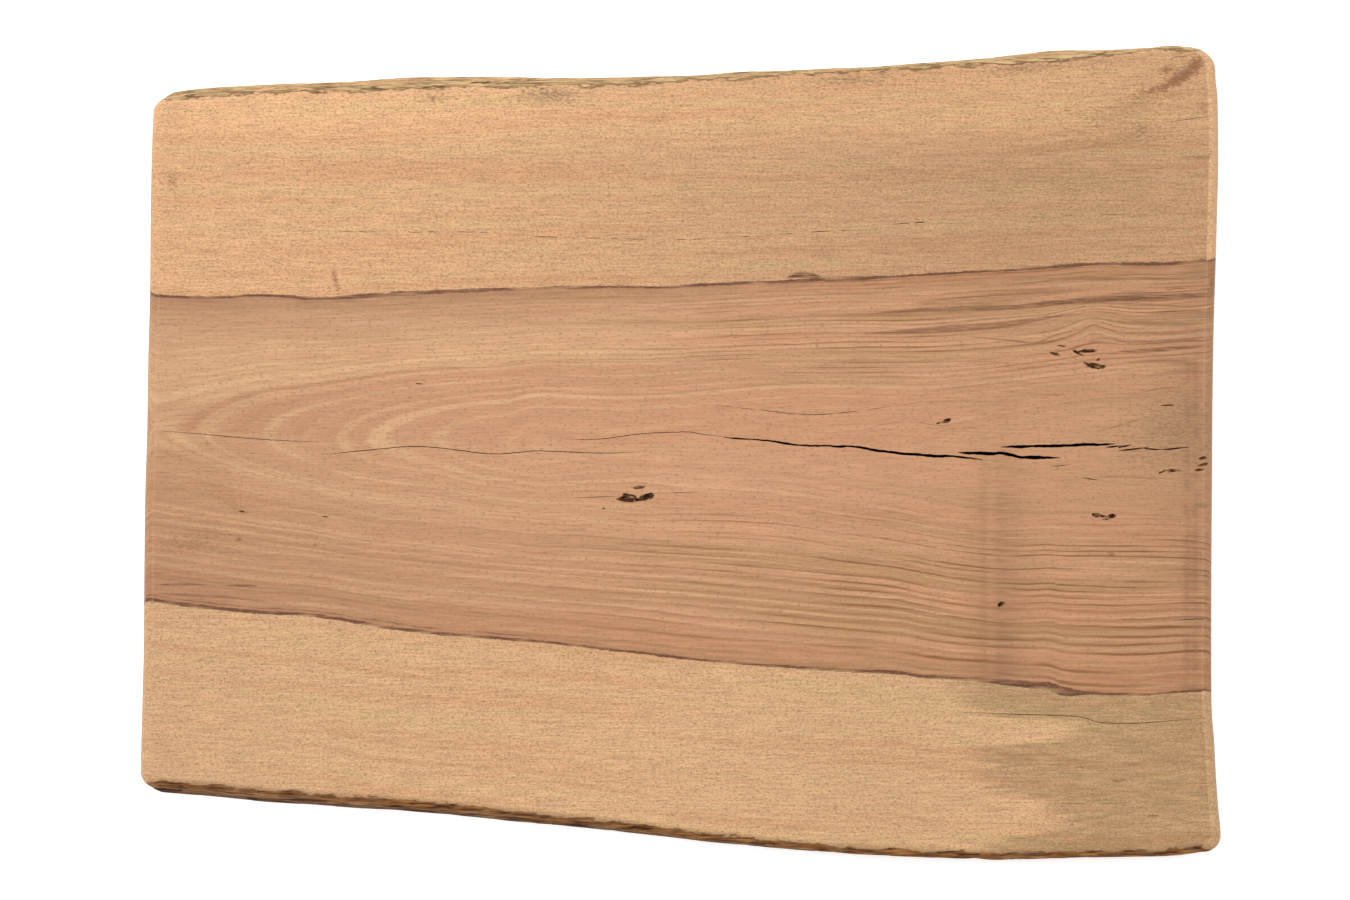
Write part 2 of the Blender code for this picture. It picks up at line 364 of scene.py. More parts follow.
# The cracks: drying split the plank along the heart, most at its right end, where the middle of
# the trunk lies just under the top. The wide ones gape black, their depths painted black as shade,
# and hairlines run on from them. Each is cut with a ragged wedge, drawn out section by section
# along the split.

# Open cracks: depth, then X, Y and width in millimetres along the middle line
CRACKS = {
    "crack_long": (17, (
        (47, 16.0, 0.6), (63, 14.2, 1.7), (78, 13.4, 1.2), (99, 11.7, 1.9), (118, 8.6, 2.2),
        (129, 7.4, 1.6), (145, 6.3, 2.0), (163, 6.4, 1.8), (173, 5.3, 2.6), (185, 5.8, 1.9),
        (199, 4.5, 2.2), (215, 1.4, 2.7), (231, -0.4, 2.2), (244, -2.4, 2.8), (266, -3.7, 2.4),
        (283, -5.3, 3.0), (300, -5.2, 2.2), (312, -6.6, 2.4), (323, -7.6, 1.6), (334, -9.4, 0.6),
    )),
    "crack_middle": (22, (
        (307, -1.0, 0.6), (315, -1.6, 2.4), (330, -1.9, 3.0), (346, -2.4, 3.6), (354, -1.7, 2.6),
        (363, -3.3, 3.4), (376, -6.2, 2.8), (391, -6.4, 3.6), (405, -6.8, 2.6), (420, -7.2, 0.6),
    )),
    "crack_upper": (20, (
        (354, 5.0, 0.6), (366, 5.3, 2.4), (379, 5.4, 3.0), (392, 6.0, 2.4), (405, 6.1, 3.0),
        (430, 6.6, 2.6), (450, 7.9, 3.1), (462, 7.5, 2.4), (474, 8.1, 1.8), (481, 8.5, 0.5),
    )),
    "slit_first": (9, ((470, 4.6, 0.5), (478, 5.5, 1.9), (488, 6.4, 0.5))),
    "slit_second": (9, ((483, 4.2, 0.5), (491, 5.8, 1.9), (499, 7.0, 0.5))),
    "slit_near": (10, ((484, 0.8, 0.5), (495, 1.9, 1.7), (506, 3.3, 1.5), (518, 4.3, 0.5))),
    "slit_third": (9, ((512, 3.6, 0.5), (521, 2.6, 1.6), (532, 2.0, 0.5))),
    "slit_far": (10, ((530, 2.0, 0.5), (541, 2.7, 1.5), (551, 4.0, 1.4), (562, 4.6, 0.5))),
}
# Hairlines: depth and greatest width in millimetres, share of it that is closed, and X and Y
HAIRLINES = {
    "hair_left": (3, 0.7, 0.0, (
        (-589, 23.8), (-532, 19.4), (-482, 14.9), (-432, 11.6), (-399, 10.5),
    )),
    "hair_middle": (4, 0.9, 0.0, (
        (-401, -3.9), (-355, 0.6), (-300, 5.5), (-266, 3.9), (-222, -1.7), (-200, -2.8),
        (-161, 0.6), (-123, -0.6), (-89, -1.7), (-45, -0.6),
    )),
    "hair_rising": (5, 0.8, 0.0, (
        (-128, 13.8), (-89, 13.8), (-45, 19.4), (10, 21.6), (21, 19.6), (50, 16.0),
    )),
    "hair_over": (3, 0.7, 0.1, ((27, 52.5), (88, 45.9), (144, 40.6), (186, 43.7), (260, 53.7))),
    "hair_under": (3, 1.0, 0.0, ((408, -16.6), (420, -15.9), (432, -14.3))),
    "hair_beside": (3, 1.1, 0.0, ((442, -28.2), (453, -30.4), (464, -31.5))),
    "hair_knot": (3, 0.8, 0.0, ((-123, -51.4), (-89, -50.3), (-66, -49.6))),
    "hair_pocket": (3, 0.8, 0.2, ((-31, -49.2), (-20, -46.1), (21, -45.5))),
    "hair_sapwood": (3, 0.7, 0.5, (
        (-443, 243.9), (-300, 242.8), (-233, 242.8), (-189, 240.6), (-156, 237.9), (-100, 236.2),
        (-17, 234.5), (21, 235.1), (99, 239.5), (165, 243.9), (220, 245.6),
    )),
    "hair_dashes": (4, 1.2, 0.45, ((232, 251.2), (262, 253.4), (301, 255.6))),
    "hair_faint": (2, 0.35, 0.3, ((353, 259.4), (470, 262.0), (591, 263.9))),
    "hair_corner": (3, 0.6, 0.1, ((536, 364.5), (563, 367.8), (594, 372.3))),
    "hair_edge": (2, 0.4, 0.3, ((552, 324.7), (572, 328.0), (593, 330.2))),
    "hair_sap_low": (3, 0.8, 0.0, (
        (298, -288.2), (380, -291.0), (442, -293.7), (464, -299.8), (508, -300.4), (590, -293.7),
    )),
    "hair_low": (2, 0.45, 0.2, ((342, -387.8), (453, -389.4), (574, -385.5))),
    "hair_right": (3, 0.9, 0.0, ((545, -186.6), (566, -185.6), (589, -184.2))),
}
# The wedges, in millimetres or as shares: how far they rise above the top, their sections, the
# middle line's and the width's unevenness and its length, and the waist half way down
CRACK_RISE = 2
SECTION = 3.0
SHORT_SECTION = 1.3
FEWEST_SECTIONS = 14
RAGGED = 0.44
RAGGED_LENGTH = 3.3
WIDENING = 1.2
UNEVENNESS = 0.35
UNEVEN_LENGTH = 6.3
GAP_LENGTH = 13
GAP_SOFTNESS = 0.12
WAIST_HEIGHT = 0.45
WAIST_WIDTH = 0.6
THINNEST = 0.06
SHALLOWEST = 0.3
TIP_WIDTH = 0.15
# Deeper than this under the top, the split wood is painted black, as the shade inside cracks and
# pits
PAINTED_SHADE_BELOW = 0.0045


def linear(value):
    """Linear colour of an sRGB hex value."""
    parts = [int(value[start:start + 2], 16) / 255 for start in (1, 3, 5)]
    return [*(part / 12.92 if part < 0.04045 else ((part + 0.055) / 1.055) ** 2.4
              for part in parts), 1]


def add(kind, *feeds, sockets=None, stops=(), **settings):
    """Adds a node to the material at hand with its settings and links; gives its main output."""
    node = tree.nodes.new("ShaderNode" + kind)
    for name, value in settings.items():
        setattr(node, name, value)
    if kind == "FloatCurve":
        node.mapping.use_clip = False
        node.mapping.extend = "HORIZONTAL"
        points = node.mapping.curves[0].points
        for _ in stops[2:]:
            points.new(0, 0)
        for point, stop in zip(points, stops):
            point.location = stop
        node.mapping.update()
    elif stops:
        elements = node.color_ramp.elements
        elements[1].position = stops[-1][0]
        elements[1].color = stops[-1][1]
        elements[0].position = stops[0][0]
        elements[0].color = stops[0][1]
        for place, colour in stops[1:-1]:
            elements.new(place).color = colour
    free = [socket for socket in node.inputs if socket.enabled]
    pairs = list(zip(free, feeds))
    pairs += [(node.inputs[name], feed) for name, feed in (sockets or {}).items()]
    for socket, feed in pairs:
        if isinstance(feed, bpy.types.NodeSocket):
            tree.links.new(feed, socket)
        elif feed is not None:
            socket.default_value = feed
    return next((socket for socket in node.outputs if socket.enabled), node)


# Split mango: torn fibres in a crack or a knot, dull, browner near the top and painted nearly black
# deeper down, as painted shade. The shreds are some 8 mm long, 1 mm wide and 2 mm high.
split_wood_with_painted_shade = bpy.data.materials.new("split_mango_painted_shade")
split_wood_with_painted_shade.use_nodes = True
tree = split_wood_with_painted_shade.node_tree
tree.nodes.clear()
place = add("TexCoord").node.outputs["Object"]
shreds = add("VectorMath", place, (120, 900, 500), operation="MULTIPLY")
shred = add("MapRange", add("TexNoise", shreds, 1.0, 2.0, 0.6), 0.3, 0.65, 0.0, 1.0)
height = add("SeparateXYZ", place).node.outputs["Z"]
# Painted shade: the torn fibres darken to black with depth below the top
depth = add("MapRange", height, THICKNESS - PAINTED_SHADE_BELOW, THICKNESS, 0.0, 1.0)
lit = add("Math", depth, shred, operation="MULTIPLY")
torn = add("ValToRGB", lit, stops=(
    (0.0, linear("#120B07")), (0.2, linear("#2A1A10")), (0.36, linear("#6A4429")),
    (0.55, linear("#A87B55")),
))
shader = add("BsdfPrincipled", torn, sockets={"Roughness": 0.9, "Specular IOR Level": 0.2})
add("OutputMaterial", shader)


def crack_cutter(name, depth, line, closed=0.0):
    """A ragged wedge that stands point down along a crack's middle line."""
    start, end = line[0][0], line[-1][0]
    step = min(max((end - start) / FEWEST_SECTIONS, SHORT_SECTION), SECTION)
    count = round((end - start) / step)
    middle_line = [(x, y) for x, y, _ in line]
    widths = [(x, width) for x, _, width in line]
    widest = max(width for _, _, width in line)
    sections = []
    for index in range(count + 1):
        x = start + (end - start) * index / count
        uneven = noise.noise(Vector((x / UNEVEN_LENGTH, depth, 0.3)))
        width = smooth_curve(widths, x) * (WIDENING + UNEVENNESS * uneven)
        if closed:
            gap = noise.noise(Vector((x / GAP_LENGTH, depth, 7.7))) + 0.5 - closed
            width *= min(max(gap / GAP_SOFTNESS, 0), 1)
        width = max(width, THINNEST)
        y = smooth_curve(middle_line, x)
        y += RAGGED * min(width, 1) * noise.noise(Vector((x / RAGGED_LENGTH, depth, 4.4)))
        reach = depth * (SHALLOWEST + (1 - SHALLOWEST) * min(width / widest, 1))
        upper, lower = y + width / 2, y - width / 2
        waist = WAIST_WIDTH * width / 2
        top, low = THICKNESS / MM, THICKNESS / MM - reach
        waist_height = top - WAIST_HEIGHT * reach
        sections.append([Vector(point) * MM for point in (
            (x, upper, top + CRACK_RISE), (x, lower, top + CRACK_RISE),
            (x, y - waist, waist_height), (x, y, low), (x, y + waist, waist_height),
        )])
    piece = drawn_out(name, sections)
    bpy.ops.mesh.select_all(action="SELECT")
    bpy.ops.mesh.normals_make_consistent(inside=False)
    bpy.ops.object.mode_set(mode="OBJECT")
    # The cut walls of the cracks take the split wood and its painted shade
    piece.data.materials.append(split_wood_with_painted_shade)
    cutters.objects.link(piece)


cutters = bpy.data.collections.new("cutters")
bpy.context.scene.collection.children.link(cutters)
for name, (depth, line) in CRACKS.items():
    crack_cutter(name, depth, line)
for name, (depth, width, closed, line) in HAIRLINES.items():
    first, last = line[0][0], line[-1][0]
    taper = [(x, y, width * (TIP_WIDTH if x in (first, last) else 1.0)) for x, y in line]
    crack_cutter(name, depth, taper, closed)

# The knots: dead side shoots that came out of the plank or rotted away, and left torn pits with
# bridges of fibre between them. Each pit is a rough ball, flattened and drawn out along the grain.

# X, Y, length, width and depth in millimetres, and turn in degrees
PITS = (
    (-59.0, -51.4, 17, 8.6, 3.2, 4), (-37.9, -50.6, 16, 6.2, 3.2, 12),
    (-48.5, -53.2, 9, 4.0, 2.8, -8), (-45.9, -39.8, 11.5, 3.4, 2.2, 4),
    (-85.2, -63.2, 3.0, 1.8, 1.4, 0),
    (294.4, 34.2, 9.5, 3.8, 2.2, 20), (285.5, 31.6, 6, 2.0, 1.4, 10),
    (414.0, 107.9, 10, 2.8, 2.2, -16), (421.2, 116.8, 7.5, 1.6, 1.4, -8),
    (450.2, 111.2, 17, 3.6, 2.6, 2), (439.2, 109.2, 11, 2.6, 2.2, -28),
    (462.1, 101.8, 4, 2.4, 1.8, 30),
    (450.0, 96.4, 8, 3.0, 2.4, -25), (457.0, 94.6, 15, 6.2, 3.0, -6), (465.6, 93.8, 8, 3.4, 2.2, 8),
    (539.0, 51.1, 13, 1.7, 1.8, 2),
    (459.8, -70.2, 9.4, 3.8, 2.6, -6), (468.0, -71.8, 9, 2.6, 2.6, -14),
    (476.2, -71.6, 8, 4.4, 2.6, 8),
    (469.8, -75.0, 6, 1.5, 1.4, 0), (354.2, -169.1, 7.4, 4.2, 3, 30),
    (533.8, -22.2, 9, 2.2, 1.8, 22), (542.9, -21.2, 10, 3.2, 2.2, 4),
    (550.4, -21.0, 6, 1.6, 1.4, 0), (578.4, -7.2, 9.5, 2.8, 2.2, 6),
    (577.6, -14.6, 13, 2.8, 2.2, 12), (573.8, -20.4, 9.5, 2.2, 2.2, 6),
    (-485.1, -66.9, 6, 2.4, 1.2, -15), (-289.3, 75.0, 7.5, 1.3, 1.2, -6),
    (-393.5, -72.0, 6, 1.1, 1.2, 0), (596.0, -61.5, 7, 6.0, 2.2, 0),
)
PIT_SPREAD = 1.2
PIT_ROUGHNESS = 0.42
PIT_GRAIN = 0.75
PIT_FINENESS = 3

for number, (x, y, length, width, depth, turned) in enumerate(PITS):
    bpy.ops.object.select_all(action="DESELECT")
    bpy.ops.mesh.primitive_ico_sphere_add(subdivisions=PIT_FINENESS, radius=1)
    pit = bpy.context.object
    pit.name = f"pit_{number}"
    for vertex in pit.data.vertices:
        uneven = noise.noise(vertex.co / PIT_GRAIN + Vector((x, y, 0)))
        finer = noise.noise(vertex.co * 4 / PIT_GRAIN + Vector((y, x, 0)))
        vertex.co *= 1 + PIT_ROUGHNESS * (uneven + 0.4 * finer)
    pit.scale = (length / 2 * PIT_SPREAD * MM, width / 2 * PIT_SPREAD * MM, depth * MM)
    pit.rotation_euler.z = math.radians(turned)
    pit.location = (x * MM, y * MM, THICKNESS)
    bpy.ops.object.transform_apply(location=True, rotation=True, scale=True)
    # The pits' walls take the split wood and its painted shade
    pit.data.materials.append(split_wood_with_painted_shade)
    cutters.objects.link(pit)

tabletop.data.materials.append(None)
bpy.ops.object.select_all(action="DESELECT")
bpy.context.view_layer.objects.active = tabletop
tabletop.select_set(True)
splits = tabletop.modifiers.new("splits", "BOOLEAN")
splits.operation = "DIFFERENCE"
splits.solver = "EXACT"
splits.operand_type = "COLLECTION"
splits.collection = cutters
splits.material_mode = "TRANSFER"
bpy.ops.object.modifier_apply(modifier=splits.name)
for cutter in list(cutters.objects):
    bpy.data.objects.remove(cutter, do_unlink=True)
bpy.data.collections.remove(cutters)
bpy.ops.object.shade_smooth_by_angle(angle=SMOOTH_UP_TO)

# The wood: mango, planed, sanded and oiled. Pale sapwood full of short vessel lines lies along
# both live edges, and the pinkish heartwood shows its growth rings as lines that close in points
# to the left. All of it runs through the plank's thickness, so the ends show the same rings.

# Upper and lower limit of the heartwood, and the middle of its rings, as X and Y in millimetres
HEART_UPPER = (
    (-593, 173.1), (-560, 171.5), (-511, 170.5), (-461, 172.3), (-405, 169.8), (-363, 171.5),
    (-325, 173.5), (-264, 175.9), (-192, 179.1), (-118, 182.1), (-68, 183.3), (-32, 182.1),
    (30, 184.5), (92, 186.4), (162, 190.2), (260, 194.2), (346, 199.4), (396, 202.6),
    (453, 207.2), (489, 208.0), (539, 209.2), (592, 213.2),
)
HEART_LOWER = (
    (-594, -161.2), (-577, -165.2), (-547, -170.0), (-503, -175.0), (-461, -179.2),
    (-419, -181.2), (-387, -184.9), (-338, -193.5), (-264, -201.5), (-168, -209.6),
    (-68, -220.2), (-20, -225.6), (54, -232.9), (162, -240.6), (240, -243.8), (272, -248.7),
    (334, -252.8), (384, -257.1), (408, -259.1), (421, -263.9), (458, -267.7), (509, -268.9),
    (551, -265.7), (588, -264.1),
)
RING_MIDDLE = (
    (-597, 22.7), (-532, 21.6), (-457, 18.5), (-410, 15.0), (-377, 12.2), (-266, 12.2),
    (-222, 7.5), (-133, 7.2), (21, 9.5), (111, 11.6), (204, 2.8), (282, -5.0), (370, -5.0),
    (453, 2.8), (551, 2.8), (597, 0),
)
# How deep the trunk's middle lies under the top, along the plank, against RING_RADIUS
PITH_DEPTH = (
    (-578, 0.866), (-533, 0.819), (-457, 0.721), (-410, 0.67), (-377, 0.632), (-339, 0.592),
    (-267, 0.539), (-222, 0.5), (-190, 0.485), (-161, 0.458), (-134, 0.464), (-89, 0.474),
    (21, 0.458), (114, 0.436), (200, 0.406), (276, 0.387), (353, 0.346), (591, 0.224),
)
RING_RADIUS = 180
# Rings of the upper and of the lower half: place from the middle, half width, and how pale (1) or
# dark (-1) each is at the plank's left and at its right. RING_FLAT is the share of its half width
# over which a ring keeps its full tone.
RING_FLAT = 0.8
RINGS_UPPER = (
    (0.368, 0.003, 0.2, 0.35), (0.395, 0.003, 0.3, 0.4), (0.417, 0.003, 0.4, 0.1),
    (0.436, 0.003, 0.3, 0.2), (0.474, 0.004, 0.6, 0.4), (0.507, 0.007, 0.9, 0.5),
    (0.532, 0.004, 0.5, 0.3), (0.559, 0.003, 0.3, 0.4), (0.5815, 0.002, 0.7, 0.2),
    (0.5865, 0.002, 0.7, 0.2), (0.605, 0.006, -0.2, 0.0), (0.6275, 0.0070, 0.6, 0.4),
    (0.640, 0.004, -0.3, 0.0), (0.6505, 0.003, 0.8, 0.1), (0.6585, 0.003, 0.8, 0.1),
)
RINGS_OUTER_UPPER = (
    (0.677, 0.009, 0.6, 0.4), (0.700, 0.003, 0.5, 0.1), (0.716, 0.003, 0.6, 0.1),
    (0.730, 0.005, 0.0, -0.6), (0.750, 0.003, 0.5, 0.3), (0.764, 0.004, 0.4, 0.6),
    (0.794, 0.003, 0.7, 0.1), (0.821, 0.012, -0.1, -0.8), (0.833, 0.003, 0.5, -0.1),
    (0.863, 0.004, 0.1, 0.6), (0.883, 0.004, -0.5, 0.0), (0.910, 0.006, 0.2, 0.3),
    (0.945, 0.010, -0.3, -0.2),
)
RINGS_LOWER = (
    (0.368, 0.003, 0.2, 0.2), (0.395, 0.003, 0.3, 0.2), (0.417, 0.003, 0.4, 0.1),
    (0.436, 0.003, 0.3, 0.2), (0.450, 0.005, 0.0, -0.3), (0.474, 0.004, 0.5, 0.1),
    (0.507, 0.008, 0.7, 0.2), (0.532, 0.005, 0.5, -0.4), (0.5735, 0.004, 0.2, -0.4),
    (0.584, 0.003, 0.7, 0.2), (0.6285, 0.003, 0.8, 0.2), (0.637, 0.004, 0.35, 0.1),
    (0.6465, 0.004, 0.8, 0.1), (0.6585, 0.005, 0.5, 0.1),
)
RINGS_OUTER_LOWER = (
    (0.702, 0.003, 0.6, 0.1), (0.714, 0.005, 0.0, -0.6), (0.742, 0.003, -0.2, -0.4),
    (0.768, 0.003, 0.0, -0.5), (0.786, 0.004, 0.5, 0.0), (0.800, 0.003, -0.2, -0.5),
    (0.814, 0.006, -0.2, -0.8), (0.824, 0.003, 0.6, 0.1), (0.842, 0.004, -0.5, -0.6),
    (0.865, 0.004, 0.4, -0.7), (0.885, 0.005, -0.3, -0.8), (0.902, 0.004, -0.2, -0.8),
    (0.915, 0.004, 0.5, 0.2), (0.924, 0.003, -0.2, -0.6), (0.936, 0.003, 0.4, 0.1),
    (0.946, 0.004, -0.4, -0.6), (0.961, 0.005, -0.7, -0.5), (0.976, 0.004, -0.2, -0.6),
)
# Grain that bends round a knot: X, Y, reach along and across, and push across, in millimetres
BENDS = (
    (-48, -32, 110, 34, 6), (-48, -76, 120, 40, -7), (456, 140, 60, 50, 13),
    (455, 76, 90, 40, -7), (354, -154, 45, 18, 3), (354, -184, 45, 18, -3),
    (292, 46, 60, 22, 5), (292, 20, 60, 20, -3), (468, -60, 60, 16, 3), (468, -86, 60, 18, -3),
)
# The lower rings sag where a side shoot pressed on them, as X and drop in millimetres
SAG = ((-600, 0), (240, 0), (320, 4.0), (366, 5.0), (440, 1.5), (600, 0))

wood = bpy.data.materials.new("oiled_mango")
wood.use_nodes = True
tree = wood.node_tree
tree.nodes.clear()
place = add("TexCoord").node.outputs["Object"]
grid = add("VectorMath", place, (1 / MM,) * 3, operation="MULTIPLY")
x, y, z = add("SeparateXYZ", grid).node.outputs


def fibre(length, width, seed):
    """Place on a pattern of streaks, of this length along the grain and this width, in mm."""
    return add("VectorMath", grid, (1 / length, 1 / width, 1 / width), (seed, seed, seed),
               operation="MULTIPLY_ADD")


def spot(at_x, at_y, reach_x, reach_y, reach_z, turned=0):
    """Nearness to a spot of the top: 1 in its middle, falling to 0 at its reach, in mm."""
    spot_middle = (at_x, at_y, THICKNESS / MM)
    reaches = (reach_x, reach_y, reach_z)
    from_middle = grid
    if turned:
        from_middle = add("VectorRotate", grid, spot_middle, math.radians(-turned),
                          rotation_type="Z_AXIS")
    from_middle = add("VectorMath", from_middle, [1 / reach for reach in reaches],
                      [-at / reach for at, reach in zip(spot_middle, reaches)],
                      operation="MULTIPLY_ADD")
    away = add("VectorMath", from_middle, operation="LENGTH")
    return add("Math", 1.0, away, operation="SUBTRACT", use_clamp=True)


# Fibres jag every ring that runs across them, and slow waves keep the rings from being straight
streaks = add("TexNoise", fibre(38, 2.1, 9.3), 1.0, 1.0, 0.6)
jag = add("TexNoise", fibre(22, 2.0, 3.1), 1.0, 1.0)
ring_x = add("Math", jag, 14.0, add("Math", x, 7.0, operation="SUBTRACT"), operation="MULTIPLY_ADD")
wave = add("TexNoise", fibre(170, 60, 8.4), 1.0, 1.0)
ripple = add("TexNoise", fibre(90, 10, 5.2), 1.0, 1.0)
ring_y = add("Math", wave, 6.0, add("Math", y, 3.0, operation="SUBTRACT"), operation="MULTIPLY_ADD")
ring_y = add("Math", ripple, 1.8, add("Math", ring_y, 0.9, operation="SUBTRACT"),
             operation="MULTIPLY_ADD")
ring_y = add("Math", streaks, 2.0, add("Math", ring_y, 1.0, operation="SUBTRACT"),
             operation="MULTIPLY_ADD")
for bend_x, bend_y, reach_x, reach_y, push in BENDS:
    near = spot(bend_x, bend_y, reach_x, reach_y, 90)
    bulge = add("Math", near, near, operation="MULTIPLY")
    ring_y = add("Math", bulge, -push, ring_y, operation="MULTIPLY_ADD")

# How far a point lies from the middle of the rings: 0 there, 1 at the limit of the heartwood
centre = add("FloatCurve", None, x, stops=RING_MIDDLE)
upper = add("FloatCurve", None, x, stops=HEART_UPPER)
lower = add("FloatCurve", None, x, stops=HEART_LOWER)
rise = add("Math", ring_y, centre, operation="SUBTRACT")
is_upper = add("Math", rise, 0.0, operation="GREATER_THAN")
half_upper = add("Math", upper, centre, operation="SUBTRACT")
half_lower = add("Math", centre, lower, operation="SUBTRACT")
half = add("Mix", is_upper, half_lower, half_upper)
out = add("Math", add("Math", rise, operation="ABSOLUTE"), half, operation="DIVIDE")
sag = add("FloatCurve", None, x, stops=SAG)
hump = add("Math", out, add("Math", 1.0, out, operation="SUBTRACT", use_clamp=True),
           operation="MULTIPLY")
dip = add("Math", add("Math", sag, -0.02, operation="MULTIPLY"), hump, operation="MULTIPLY")
out_lower = add("Math", out, dip, operation="ADD")
capped = add("Math", out_lower, 1.0, operation="MINIMUM")
stretch = add("Math", capped, -0.6, 1.6, operation="MULTIPLY_ADD")
out_lower = add("Math", capped, stretch, operation="MULTIPLY")
across_ring = add("Mix", is_upper, out_lower, out)
pith = add("FloatCurve", None, ring_x, stops=PITH_DEPTH)
sunk = add("Math", z, 1 / RING_RADIUS, -THICKNESS / MM / RING_RADIUS, operation="MULTIPLY_ADD")
deep = add("Math", pith, sunk, operation="ADD")
deep_squared = add("Math", deep, deep, operation="MULTIPLY")
pith_squared = add("Math", pith, pith, operation="MULTIPLY")
ring_squared = add("Math", across_ring, across_ring, deep_squared, operation="MULTIPLY_ADD")
ring_squared = add("Math", ring_squared, add("Math", pith_squared, 1.0, operation="ADD"),
                   operation="DIVIDE")
radius = add("Math", ring_squared, operation="SQRT")

# Distance outside the heartwood, in millimetres
edge_noise = add("TexNoise", fibre(9, 3, 1.7), 1.0, 2.0, 0.7)
out_squared = add("Math", out, out, deep_squared, operation="MULTIPLY_ADD")
out_squared = add("Math", out_squared, pith_squared, operation="SUBTRACT")
out_true = add("Math", add("Math", out_squared, 0.0, operation="MAXIMUM"), operation="SQRT")
beyond = add("Math", add("Math", out_true, 1.0, operation="SUBTRACT"), half, operation="MULTIPLY")
ragged = add("Math", edge_noise, 2.6, -1.3, operation="MULTIPLY_ADD")
beyond = add("Math", beyond, ragged, operation="ADD")


def ring_lines(rings, amount):
    """How pale or dark the rings of one half are at a place, at the plank's one end."""
    stops = []
    for ring_place, half_width, *amounts in rings:
        flat = half_width * RING_FLAT
        stops += [(ring_place - half_width, 0), (ring_place - flat, amounts[amount]),
                  (ring_place + flat, amounts[amount]), (ring_place + half_width, 0)]
    for before, after in zip(range(3, len(stops) - 1, 4), range(4, len(stops), 4)):
        if stops[after][0] <= stops[before][0]:
            shared = (stops[after][0] + stops[before][0]) / 2
            stops[before] = (shared - 0.0002, 0)
            stops[after] = (shared + 0.0002, 0)
    curve = add("FloatCurve", None, radius, stops=stops)
    for point in curve.node.mapping.curves[0].points:
        point.handle_type = "VECTOR"
    curve.node.mapping.update()
    return curve


rightward = add("MapRange", x, -250, 250, 0.0, 1.0, interpolation_type="SMOOTHSTEP")
halves = []
for inner, outer in ((RINGS_LOWER, RINGS_OUTER_LOWER), (RINGS_UPPER, RINGS_OUTER_UPPER)):
    ends = []
    for amount in (0, 1):
        ends.append(add("Math", ring_lines(inner, amount), ring_lines(outer, amount),
                        operation="ADD"))
    halves.append(add("Mix", rightward, *ends))
drawn_rings = add("Mix", is_upper, *halves)
# Sets the patterns of the upper half apart from those of the lower
side = add("Math", is_upper, 40.0, operation="MULTIPLY")


def along_rings(length, crowding, seed):
    """Place on a pattern that follows the rings: this long along them, this many across them."""
    lengthwise = add("Math", x, 1 / length, add("Math", side, seed, operation="ADD"),
                     operation="MULTIPLY_ADD")
    return add("CombineXYZ", lengthwise, add("Math", radius, crowding, operation="MULTIPLY"))


def thin_rings(crowding, seed, width):
    """Thin lines that follow the rings at uneven steps, this many from the middle outwards."""
    uneven = add("TexNoise", along_rings(560, 13, seed), 1.0, 2.0, 0.5, noise_dimensions="2D")
    steps = add("Math", radius, crowding, add("Math", uneven, 1.2, operation="MULTIPLY"),
                operation="MULTIPLY_ADD")
    fold = add("Math", steps, 0.5, operation="PINGPONG")
    line = add("MapRange", fold, 0.3 * width, width, 1.0, 0.0)
    strength = add("TexNoise", along_rings(230, crowding * 0.8, seed + 2), 1.0, 1.0, 0.5,
                   noise_dimensions="2D")
    return add("Math", line, add("MapRange", strength, 0.36, 0.56, 0.0, 1.0),
               operation="MULTIPLY")


# Thin pale rings all over, most at the left, and thin dark ones, most at the lower right
fading = add("TexNoise", fibre(150, 24, 2.9), 1.0, 1.0)
fading_in = add("MapRange", fading, 0.36, 0.6, 0.35, 1.1)
fading_out = add("MapRange", fading, 0.64, 0.4, 0.3, 1.1)
thin_pale = add("Math", thin_rings(44, 0.0, 0.17), fading_in, operation="MULTIPLY")
thin_pale = add("Math", thin_pale, add("MapRange", x, -600, 600, 0.85, 0.6), operation="MULTIPLY")
thin_dark = add("Math", thin_rings(47, 7.7, 0.2), fading_out, operation="MULTIPLY")
downward = add("MapRange", y, 60, -120, 0.85, 1.0)
thin_dark = add("Math", thin_dark, downward, operation="MULTIPLY")
thin_dark = add("Math", thin_dark, add("MapRange", radius, 0.42, 0.62, 0.0, 1.0),
                operation="MULTIPLY")
thin_pale = add("Math", thin_pale, add("MapRange", across_ring, 0.28, 0.5, 0.0, 1.0),
                operation="MULTIPLY")
old_wood = add("MapRange", x, -350, 300, 0.0, 1.0, interpolation_type="SMOOTHSTEP")
thin_dark = add("Math", thin_dark, add("MapRange", old_wood, 0, 1, 0.12, 1.0), operation="MULTIPLY")

# Tones: pinkish tan heartwood and pale tan sapwood, both darker towards the plank's right end and
# lightest at its upper left, partly the wood's own tone and partly painted shade, as if the light
# fell off away from the upper left
HEARTWOOD = linear("#CF9D78")
SAPWOOD_UPPER = linear("#E2B488")
SAPWOOD_LOWER = linear("#E2B88D")
heart_tone_upper = add("FloatCurve", None, x, stops=(
    (-600, 1.02), (-300, 1.08), (0, 1.05), (200, 1.01), (400, 0.97), (540, 0.89), (600, 0.8),
))
heart_tone_lower = add("FloatCurve", None, x, stops=(
    (-600, 0.84), (-300, 0.95), (0, 1.02), (200, 1.0), (400, 0.96), (540, 0.89), (600, 0.8),
))
sap_tone_upper = add("FloatCurve", None, x, stops=(
    (-600, 1.05), (-300, 1.03), (0, 0.91), (300, 0.79), (600, 0.78),
))
sap_tone_rim = add("FloatCurve", None, x, stops=(
    (-600, 1.17), (-300, 1.17), (0, 1.04), (200, 0.99), (430, 0.96), (520, 0.9), (600, 0.87),
))
sap_tone_lower = add("FloatCurve", None, x, stops=(
    (-600, 0.93), (-300, 0.98), (0, 0.98), (250, 0.93), (400, 0.97), (600, 0.93),
))
sap_tone_upper = add("Mix", add("MapRange", y, 325, 365, 0.0, 1.0), sap_tone_upper, sap_tone_rim)

